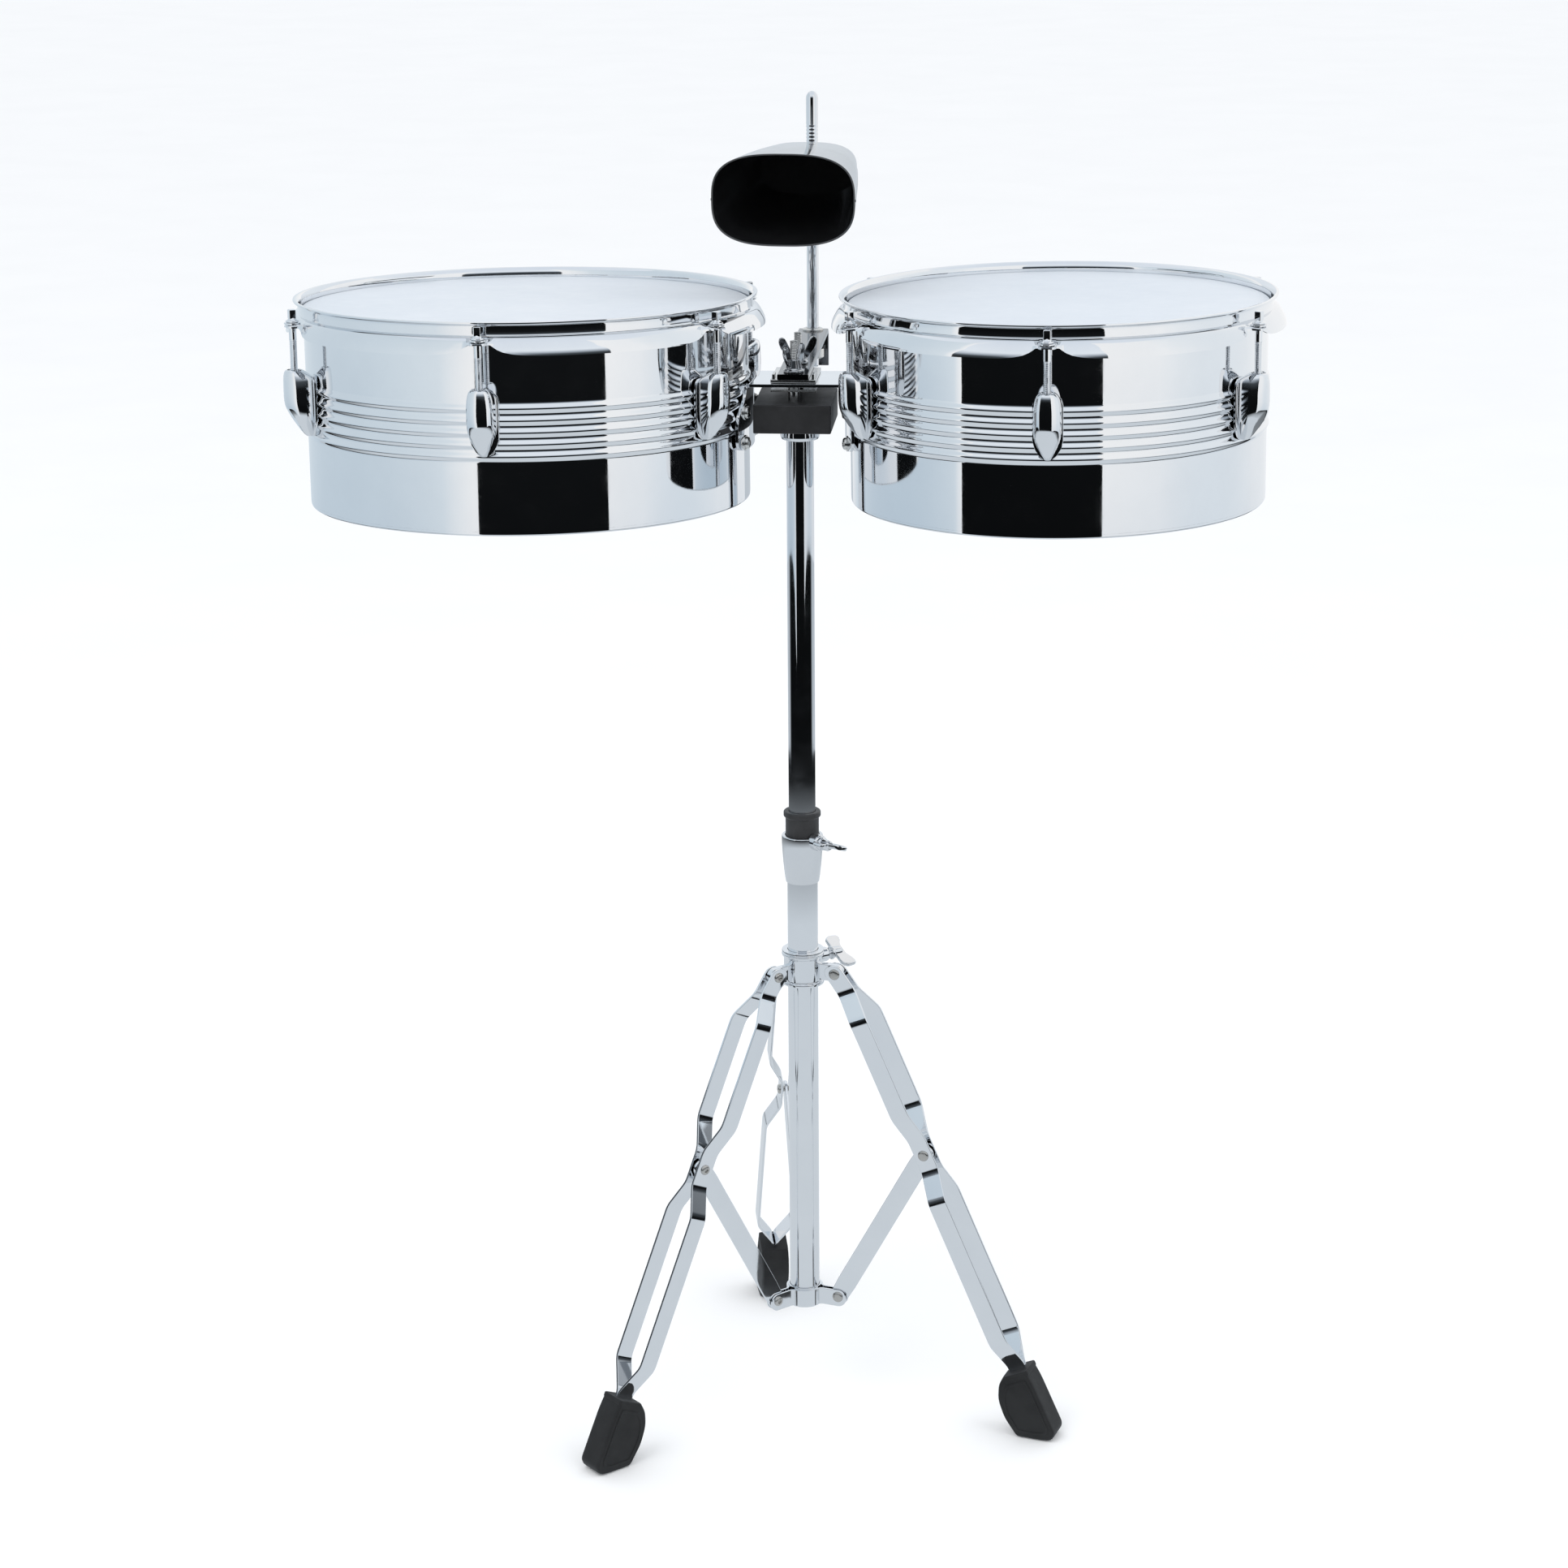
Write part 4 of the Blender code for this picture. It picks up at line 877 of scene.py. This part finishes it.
def make_wing_bolt(name, body, place, tip, head, length, angle):
    shank = threaded(0.0031, tip, head + 0.0010, 0.00125, 0.0005, 24)
    hub = turned(rounded([(0.0034, head - 0.0002), (0.0058, head - 0.0002), (0.0058, head + 0.0014),
                          (0.0048, head + 0.0026), (0.0044, head + 0.0092), (0.0030, head + 0.0106)],
                         0.0007, False, 4), SMALL)
    outline = blade_outline(length)
    sections = []
    for share, y in ((0.90, -0.0018), (0.965, -0.00145), (1.0, -0.0008), (1.0, 0.0008), (0.965, 0.00145),
                     (0.90, 0.0018)):
        sections.append([(x * (0.4 + 0.6 * share), y, 0.0085 + (z - 0.0085) * share) for x, z in outline])
    wings = moved(skin(sections), at(0, 0, head + 0.0008) @ turn(angle))
    piece(name, together(shank, hub, wings), CAST_CHROME, body, [body], place, sharp=34)


# ---------------------------------------------------------------- stand column
def make_tubes():
    low, high = 0.0892, 0.4999
    wall = rounded(rectangle(LOWER_TUBE_BORE, LOWER_TUBE_R, low, high), 0.0004, True, 2)
    piece("lower_column", hollow(wall, MEDIUM), CHROME, "base", ["lower_tube"], sharp=40)
    low, high = UPPER_TUBE_Z
    profile = rounded([(UPPER_TUBE_BORE, low), (UPPER_TUBE_R, low), (UPPER_TUBE_R, FLANGE_Z - 0.0002),
                       (FLANGE_R - 0.0010, FLANGE_Z), (FLANGE_R, FLANGE_Z + 0.0024), (FLANGE_R, high),
                       (UPPER_TUBE_BORE, high)],
                      [0.0004, 0.0004, 0.0008, 0.0008, 0.0006, 0.0004, 0.0004], True, 4)
    piece("upper_column", hollow(profile, MEDIUM), TUBE_CHROME, "mast", ["upper_tube"], sharp=40)


def make_bushing():
    profile = rounded([(0.0114, 0.5012), (0.0139, 0.5012), (0.0139, 0.5298), (0.0155, 0.5306),
                       (0.0155, 0.5343), (0.0147, 0.5351), (0.0114, 0.5351)],
                      [0.0003, 0.0004, 0.0006, 0.0007, 0.0007, 0.0006, 0.0003], True, 4)
    piece("tube_sleeve", hollow(profile, MEDIUM), NYLON, "bushing", ["tube_bushing"], sharp=40)


def make_height_clamp():
    low, high = CLAMP_Z
    profile = rounded([
        (LOWER_TUBE_R + 0.0002, low), (0.0139, low), (0.0146, low + 0.0045), (0.0157, low + 0.0140),
        (0.0165, low + 0.0250), (0.0171, high - 0.0070), (0.0171, high), (0.01435, high),
        (0.01435, CLAMP_POCKET_Z), (LOWER_TUBE_R + 0.0002, CLAMP_POCKET_Z),
    ], [0.0003, 0.0009, 0.0020, 0.0060, 0.0060, 0.0030, 0.0012, 0.0005, 0.0003, 0.0003], True, 4)
    place = outward(HEIGHT_BOLT_ANGLE, 0.0, HEIGHT_BOLT_Z)
    boss = rounded([(0.0036, 0.0140), (0.0071, 0.0140), (0.0070, 0.0212), (0.0060, 0.0226), (0.0036, 0.0226)],
                   [0.0002, 0.0008, 0.0012, 0.0010, 0.0003], True, 4)
    boss = moved(hollow(boss, SMALL), place)
    piece("height_clamp_casting", together(hollow(profile, MEDIUM), boss), CAST_CHROME, "base",
          ["height_clamp"], sharp=34)
    make_wing_bolt("height_clamp_bolt", "height_wing_bolt", place, 0.0148, 0.0230, 0.0340, 72.0)


def make_collar():
    low, high = COLLAR_Z
    profile = rounded([
        (0.0130, low), (0.0178, low), (0.0178, low + 0.0028), (0.0162, low + 0.0036), (0.0161, high - 0.0070),
        (0.0165, high - 0.0062), (0.0178, high - 0.0052), (0.0178, high - 0.0030), (0.0168, high - 0.0024),
        (0.0178, high - 0.0018), (0.0176, high), (0.0130, high),
    ], [0.0003, 0.0010, 0.0010, 0.0010, 0.0010, 0.0006, 0.0010, 0.0008, 0.0006, 0.0006, 0.0008, 0.0004],
        True, 4)
    ears = []
    for side in LEG_ANGLES:
        x, z = COLLAR_PIVOT
        path = [(0.0148, 0.0), (0.0200, 0.0), (x, 0.0), (x + 0.0071, 0.0)]
        width = lambda s: ear_profile(s, x - 0.0148, 0.0072)
        plate = strap(dense(path, 0.0006), 0.0056, width, 0.0006)
        ears.append(moved(plate, turn(LEG_ANGLES[side]) @ at(0, 0, z) @ turn(90.0, "X")))
    place = outward(COLLAR_BOLT_ANGLE, 0.0, COLLAR_BOLT_Z)
    boss = rounded([(0.0036, 0.0140), (0.0063, 0.0140), (0.0062, 0.0222), (0.0052, 0.0235), (0.0036, 0.0235)],
                   [0.0002, 0.0008, 0.0010, 0.0008, 0.0003], True, 4)
    boss = moved(hollow(boss, SMALL), place)
    piece("leg_collar_sleeve", together(hollow(profile, MEDIUM), boss, *ears), CHROME, "collar",
          ["leg_collar"], sharp=34)
    make_wing_bolt("collar_clamp_bolt", "collar_wing_bolt", place, 0.0133, 0.0270, 0.0380, 114.0)


def ear_profile(travelled, pivot, radius):
    """Half width of a plate that ends in a half circle round its pivot."""
    if travelled <= pivot:
        return radius
    return math.sqrt(max(0.0, radius ** 2 - (travelled - pivot) ** 2))


def make_spider():
    low, high = SPIDER_Z
    middle = (low + high) / 2
    half = (high - low) / 2
    pivot_x, pivot_z = SPIDER_PIVOT
    shapes = [hollow(rounded(rectangle(0.0129, 0.0142, low, high), 0.0004, True, 2), MEDIUM)]
    sides = ["right", "back", "left"]
    for index, side in enumerate(sides):
        start = LEG_ANGLES[side]
        end = LEG_ANGLES[sides[(index + 1) % 3]]
        end += 360.0 if end < start else 0.0
        path = []
        for angle, shift in ((start, 0.0026), (end, -0.0026)):
            c, s = math.cos(math.radians(angle)), math.sin(math.radians(angle))
            path.append([(r * c - shift * s, r * s + shift * c) for r in (pivot_x + 0.0073, 0.0168)])
        wrap = []
        for step in range(13):
            angle = math.radians(start + 17.0 + (end - start - 34.0) * step / 12)
            wrap.append((0.0150 * math.cos(angle), 0.0150 * math.sin(angle)))
        line = [path[0][0], path[0][1]] + wrap + [path[1][1], path[1][0]]
        line = dense(rounded(line, 0.0030, False, 4), 0.0007)
        total = sum((Vector(a) - Vector(b)).length for a, b in zip(line, line[1:]))
        ear = (total - 0.0073, 0.0074)
        width = lambda s: min(half, ear_profile(total - s, *ear), ear_profile(s, *ear))
        sheet = strap(line, 0.0016, width, 0.0003)
        shapes.append(moved(sheet, at(0, 0, middle) @ turn(-90.0, "X")))
    piece("leg_spider", together(*shapes), CHROME, "base", ["bottom_spider"], sharp=34)
    for side, angle in LEG_ANGLES.items():
        place = turn(angle) @ at(pivot_x, 0, pivot_z) @ turn(90.0, "X")
        add_pin("spider_pin_" + side, "base", place, 0.0034)


def add_pin(name, body, place, reach):
    """Domed rivet on one side of a joint, socket screw on the other, one pin between."""
    rivet = moved(dome_head(0.0047, 0.0017, False), at(0, 0, reach))
    screw = moved(dome_head(0.0043, 0.0019, True), at(0, 0, -reach) @ turn(180.0, "X"))
    pin = turned([(0.0024, -reach - 0.0002), (0.0024, reach + 0.0002)], 24)
    piece(name, together(rivet, screw, pin), RIVET, body, (), place, sharp=34)


# ---------------------------------------------------------------- legs
def leg_run():
    """Distance along the leg's middle line from its knee to the floor."""
    return KNEE[1] * link_length(KNEE, WAIST_PIVOT) / (KNEE[1] - WAIST_PIVOT[1])


def top_pivot():
    """The collar pivot in the leg's frame: distance along it, and set in towards the tube."""
    length = link_length(KNEE, WAIST_PIVOT)
    down = ((WAIST_PIVOT[0] - KNEE[0]) / length, (WAIST_PIVOT[1] - KNEE[1]) / length)
    step = (COLLAR_PIVOT[0] - KNEE[0], COLLAR_PIVOT[1] - KNEE[1])
    return step[0] * down[0] + step[1] * down[1], step[0] * down[1] - step[1] * down[0]


def leg_path():
    """Middle line of one strap of a leg: along the leg from its knee, and sideways."""
    waist = link_length(KNEE, WAIST_PIVOT)
    top = top_pivot()[0]
    run = leg_run()
    near, far, closed = 0.0043, 0.0165, 0.00102
    path = [(top - STRAP_EYE, near), (top + 0.0190, near), (0.0, far), (waist - 0.0400, far),
            (waist - 0.0150, near), (waist + 0.0150, near), (waist + 0.0400, far),
            (run - STRAP_JOIN - 0.0260, far), (run - STRAP_JOIN, closed), (run - STRAP_END, closed)]
    return dense(rounded(path, 0.0045, False, 6), 0.0011)


def set_in(shape):
    """Bend a strap in its own plane above the knee, so that its top meets the collar pivot."""
    top, offset = top_pivot()
    soft = 0.004

    def lean(x):
        return (math.hypot(x, soft) - x) / 2

    points, faces = shape
    return [(x, y + offset * lean(x) / lean(top), z) for x, y, z in points], faces


def make_leg(side):
    body = "leg_assembly_" + side
    place = link_frame(side, KNEE, WAIST_PIVOT)

    def width(travelled):
        if travelled < STRAP_EYE:
            return math.sqrt(max(0.0, STRAP_HALF ** 2 - (STRAP_EYE - travelled) ** 2))
        return STRAP_HALF

    path = leg_path()
    straps = []
    for flip in (1, -1):
        straps.append(set_in(strap([(x, flip * z) for x, z in path], STRAP_THICK, width, 0.00035)))
    piece("leg_straps_" + side, together(*straps), CHROME, body, ["leg_" + side], place, sharp=34)
    for label, spot in (("top", top_pivot()), ("waist", (link_length(KNEE, WAIST_PIVOT), 0.0))):
        pin_place = place @ at(spot[0], spot[1], 0) @ turn(180.0, "X")
        add_pin("leg_pin_{}_{}".format(label, side), body, pin_place, 0.0053)


def make_brace(side):
    place = link_frame(side, WAIST_PIVOT, SPIDER_PIVOT)
    length = link_length(WAIST_PIVOT, SPIDER_PIVOT)
    outline = []
    for index in range(15):
        angle = math.pi / 2 + math.pi * index / 14
        outline.append((0.0072 * math.cos(angle), 0.0076 * math.sin(angle)))
    outline += [(0.0150, -0.0084), (length - 0.0150, -0.0084)]
    for index in range(15):
        angle = -math.pi / 2 + math.pi * index / 14
        outline.append((length + 0.0072 * math.cos(angle), 0.0076 * math.sin(angle)))
    outline += [(length - 0.0150, 0.0084), (0.0150, 0.0084)]
    piece("brace_strap_" + side, prism(outline, -0.00125, 0.00125), CHROME, "brace_" + side,
          ["brace_" + side], place, bevel=0.0004)


def foot_floor(across):
    """Distance along the leg at which the floor lies, at a distance outwards from its middle line."""
    slope = math.atan2(WAIST_PIVOT[0] - KNEE[0], KNEE[1] - WAIST_PIVOT[1])
    return leg_run() + across * math.tan(slope)


def foot_outline():
    """Rubber boot from the side, X along the leg and Y outwards, flat on the floor."""
    run = leg_run()
    corners = [
        (run - 0.0631, -0.0118), (run - 0.0581, -0.0178), (run - 0.0461, -0.0240), (run - 0.0291, -0.0252),
        (foot_floor(-0.0215), -0.0215), (foot_floor(-0.0030), -0.0030), (run + 0.0021, 0.0072),
        (run - 0.0025, 0.0128), (run - 0.0501, 0.0122), (run - 0.0631, 0.0105),
    ]
    bends = [0.0012, 0.0060, 0.0070, 0.0050, 0.0030, 0.0030, 0.0050, 0.0040, 0.0060, 0.0015]
    return rounded(corners, bends, True, 5)


def scaled_outline(outline, share):
    middle = (leg_run() - 0.0291, -0.0050)
    return [(middle[0] + share * (x - middle[0]), middle[1] + share * (y - middle[1])) for x, y in outline]


def sole_safe(outline):
    """Keep every point of the boot on or above the floor."""
    return [(min(x, foot_floor(y) - 0.00002), y) for x, y in outline]


def make_foot(side):
    body = "leg_assembly_" + side
    place = link_frame(side, KNEE, WAIST_PIVOT)
    full = foot_outline()
    half = [(0.00850, 1.0), (0.01050, 0.996), (0.01170, 0.982), (0.01235, 0.955), (0.01250, 0.930)]
    layers = [(-z, share) for z, share in half[::-1]] + [(0.0, 1.0)] + half
    boot = skin([[(x, -y, z) for x, y in sole_safe(scaled_outline(full, share))] for z, share in layers])
    ridges = []
    for flip in (1, -1):
        outer = scaled_outline(full, 0.80)
        inner = scaled_outline(full, 0.71)
        mid_out = scaled_outline(full, 0.78)
        mid_in = scaled_outline(full, 0.73)
        steps = ((outer, 0.0120), (outer, 0.01265), (mid_out, 0.01300), (mid_in, 0.01300), (inner, 0.01265),
                 (inner, 0.0120))
        rings = [[(x, -y, flip * z) for x, y in ring] for ring, z in steps]
        ridges.append(skin([list(column) for column in zip(*rings)], wrap=True))
    piece("rubber_foot_" + side, together(boot, *ridges), RUBBER, body, ["foot_" + side], place,
          sharp=40)
    cuff = []
    run = leg_run()
    collar = rounded(rectangle(-0.0108, 0.0118, -0.0118, 0.0118), 0.0022)
    for share, drop in ((1.00, 0.0635), (1.05, 0.0629), (1.05, 0.0599), (1.0, 0.0589)):
        cuff.append([(run - drop, y * share - 0.0006, z * share) for y, z in collar])
    piece("foot_cuff_" + side, skin(cuff), RUBBER, body, (), place, sharp=40)


# ---------------------------------------------------------------- build
for drum_side in DRUMS:
    make_shell(drum_side)
    make_head(drum_side)
    make_hoop(drum_side)
    for lug_number in range(1, LUG_COUNT + 1):
        make_lug(drum_side, lug_number)
        make_tension_rod(drum_side, lug_number)
make_bracket()
make_block()
make_saddle()
make_arm()
make_eye_bolt()
make_cowbell()
make_rod()
make_tubes()
make_bushing()
make_height_clamp()
make_collar()
make_spider()
for leg_side in LEG_ANGLES:
    make_leg(leg_side)
    make_brace(leg_side)
    make_foot(leg_side)


# ---------------------------------------------------------------- studio
def stage_object(name, shape, look, camera=True, diffuse=True, glossy=True, shadow=True):
    points, faces = shape
    mesh = bpy.data.meshes.new(name)
    mesh.from_pydata(points, [], faces)
    mesh.materials.append(look)
    thing = bpy.data.objects.new(name, mesh)
    bpy.context.scene.collection.objects.link(thing)
    thing.matrix_world = STAND
    thing.visible_camera = camera
    thing.visible_diffuse = diffuse
    thing.visible_glossy = glossy
    thing.visible_transmission = glossy
    thing.visible_shadow = shadow
    return thing


def paper_material():
    material, nodes, links, shader, place = new_material("pale_floor")
    fibres = add_noise(nodes, links, place, 3.0, 6.0, 0.6)
    colour = add_ramp(nodes, links, fibres, ((0.3, (0.925, 0.928, 0.932)), (0.7, (0.945, 0.947, 0.950))))
    links.new(colour, shader.inputs["Base Color"])
    shader.inputs["Roughness"].default_value = 0.9
    shader.inputs["Specular IOR Level"].default_value = 0.1
    return material


def glow_material(name, across, span, upward=None, rise=(0.0, 1.0)):
    """Light from a card: its colour changes with X, or with the distance, and fades with height."""
    material = bpy.data.materials.new(name)
    material.use_nodes = True
    nodes, links = material.node_tree.nodes, material.node_tree.links
    nodes.clear()
    output = nodes.new("ShaderNodeOutputMaterial")
    glow = nodes.new("ShaderNodeEmission")
    glow.inputs["Strength"].default_value = 1.0
    place = nodes.new("ShaderNodeTexCoord")
    split = nodes.new("ShaderNodeSeparateXYZ")
    links.new(place.outputs["Object"], split.inputs["Vector"])
    source = split.outputs["X"]
    if upward is None:
        length = nodes.new("ShaderNodeVectorMath")
        length.operation = "LENGTH"
        links.new(place.outputs["Object"], length.inputs[0])
        source = length.outputs["Value"]
    colour = add_ramp(nodes, links, add_range(nodes, links, source, 0.0, 1.0, *span), across)
    if upward is not None:
        level = add_ramp(nodes, links, add_range(nodes, links, split.outputs["Z"], 0.0, 1.0, *rise), upward)
        blend = nodes.new("ShaderNodeMix")
        blend.data_type = "RGBA"
        blend.blend_type = "MULTIPLY"
        blend.inputs[0].default_value = 1.0
        links.new(colour, blend.inputs[6])
        links.new(level, blend.inputs[7])
        colour = blend.outputs[2]
    links.new(colour, glow.inputs["Color"])
    links.new(glow.outputs["Emission"], output.inputs["Surface"])
    return material


def disc(radius, height, sides=64):
    return circle(radius, height, sides), [tuple(range(sides))]


def curtain(plan, low, high):
    points = [(x, y, z) for z in (low, high) for x, y in plan]
    count = len(plan)
    faces = [(k, k + 1, count + k + 1, count + k) for k in range(count - 1)]
    return points, faces


def make_world():
    world = bpy.data.worlds.new("studio")
    world.use_nodes = True
    bpy.context.scene.world = world
    nodes, links = world.node_tree.nodes, world.node_tree.links
    nodes.clear()
    output = nodes.new("ShaderNodeOutputWorld")
    paths = nodes.new("ShaderNodeLightPath")
    place = nodes.new("ShaderNodeTexCoord")
    split = nodes.new("ShaderNodeSeparateXYZ")
    links.new(place.outputs["Generated"], split.inputs["Vector"])
    seen = nodes.new("ShaderNodeBackground")
    seen.inputs["Color"].default_value = (1.0, 1.0, 1.0, 1.0)
    ambient = nodes.new("ShaderNodeBackground")
    ambient.inputs["Color"].default_value = (0.955, 0.975, 1.0, 1.0)
    ambient.inputs["Strength"].default_value = AMBIENT
    mirror = nodes.new("ShaderNodeBackground")
    height = add_range(nodes, links, split.outputs["Z"], 0.0, 1.0, -0.2, 1.0)
    front = add_ramp(nodes, links, height, MIRROR_SKY)
    behind = add_ramp(nodes, links, height, MIRROR_BACK)
    turned_back = nodes.new("ShaderNodeMix")
    turned_back.data_type = "RGBA"
    links.new(add_range(nodes, links, split.outputs["Y"], 0.0, 1.0, 0.10, 0.42), turned_back.inputs[0])
    links.new(front, turned_back.inputs[6])
    links.new(behind, turned_back.inputs[7])
    links.new(turned_back.outputs[2], mirror.inputs["Color"])
    inner = nodes.new("ShaderNodeMixShader")
    links.new(paths.outputs["Is Glossy Ray"], inner.inputs[0])
    links.new(ambient.outputs[0], inner.inputs[1])
    links.new(mirror.outputs[0], inner.inputs[2])
    outer = nodes.new("ShaderNodeMixShader")
    links.new(paths.outputs["Is Camera Ray"], outer.inputs[0])
    links.new(inner.outputs[0], outer.inputs[1])
    links.new(seen.outputs[0], outer.inputs[2])
    links.new(outer.outputs[0], output.inputs["Surface"])


def area_light(name, spot, target, size, power, colour=(1.0, 1.0, 1.0)):
    light = bpy.data.lights.new(name, "AREA")
    light.shape = "DISK"
    light.size = size
    light.energy = power
    light.color = colour
    thing = bpy.data.objects.new(name, light)
    bpy.context.scene.collection.objects.link(thing)
    aim = Vector(spot) - Vector(target)
    thing.matrix_world = STAND @ Matrix.Translation(spot) @ aim.to_track_quat("Z", "Y").to_matrix().to_4x4()
    thing.visible_glossy = False
    return thing


AMBIENT = 1.05
MIRROR_SKY = ((0.00, (0.004, 0.0045, 0.005)), (0.16, (0.008, 0.009, 0.010)), (0.30, (0.06, 0.07, 0.08)),
              (0.46, (0.45, 0.50, 0.56)), (0.62, (0.88, 0.93, 0.98)), (1.00, (0.78, 0.84, 0.92)))
MIRROR_BACK = ((0.00, (0.55, 0.60, 0.65)), (0.30, (0.84, 0.89, 0.94)), (1.00, (0.88, 0.93, 0.98)))
LEFT_CARD = ((-0.34, -0.51), (-0.72, -0.66), (-1.02, -0.42), (-1.12, 0.00), (-1.00, 0.48), (-0.66, 0.84),
             (-0.30, 1.02))
RIGHT_CARD = ((0.50, -0.72), (0.86, -0.68), (1.08, -0.36), (1.12, 0.05), (0.98, 0.50), (0.66, 0.84),
              (0.34, 1.00))
CARD_LOW = 0.50
CARD_HIGH = 2.20


def make_studio():
    floor = paper_material()
    stage_object("floor", disc(60.0, -0.0004, 96), floor, glossy=False)
    lit = glow_material("floor_mirror", ((0.0, (0.67, 0.72, 0.765)), (0.55, (0.66, 0.715, 0.765)),
                                         (1.0, (0.010, 0.011, 0.012))), (0.55, 1.85))
    stage_object("floor_in_mirrors", disc(2.0, -0.0002), lit, camera=False, diffuse=False, shadow=False)
    fade = ((0.0, (0.80, 0.84, 0.88)), (0.45, (1.0, 1.0, 1.0)), (1.0, (1.0, 1.0, 1.0)))
    left_colours = ((0.0, (0.66, 0.75, 0.82)), (0.70, (0.78, 0.85, 0.90)), (1.0, (1.0, 1.0, 1.0)))
    right_colours = ((0.0, (1.0, 1.0, 1.0)), (0.70, (0.98, 0.99, 1.0)), (1.0, (0.86, 0.91, 0.95)))
    cards = (
        ("left_card", LEFT_CARD, left_colours, (-1.10, -0.36)),
        ("right_card", RIGHT_CARD, right_colours, (0.50, 1.12)),
    )
    for name, plan, colours, span in cards:
        look = glow_material(name, colours, span, fade, (CARD_LOW, 1.30))
        stage_object(name, curtain(rounded(plan, 0.2, False, 5), CARD_LOW, CARD_HIGH), look, camera=False,
                     diffuse=False, shadow=False)
    make_world()
    area_light("key", (-1.6, -1.8, 3.2), (0.0, 0.0, 0.6), 2.4, 30.0, (1.0, 0.99, 0.97))
    area_light("fill", (2.2, -0.6, 2.6), (0.0, 0.0, 0.6), 2.6, 14.0, (0.97, 0.985, 1.0))


CAMERA_SPOT = (0.2241, -2.7718, 1.4048)
CAMERA_TURNS = ((4.93, "Z"), (73.06, "X"), (-0.42, "Z"))
CAMERA_LENS = 80.39
CAMERA_SENSOR = 36.0


def make_camera():
    data = bpy.data.cameras.new("camera")
    data.lens = CAMERA_LENS
    data.sensor_width = CAMERA_SENSOR
    data.sensor_fit = "HORIZONTAL"
    data.clip_end = 200.0
    camera = bpy.data.objects.new("camera", data)
    bpy.context.scene.collection.objects.link(camera)
    place = STAND @ at(*CAMERA_SPOT)
    for degrees, axis in CAMERA_TURNS:
        place = place @ turn(degrees, axis)
    camera.matrix_world = place
    bpy.context.scene.camera = camera


make_studio()
make_camera()
bpy.context.scene.view_settings.view_transform = "Standard"
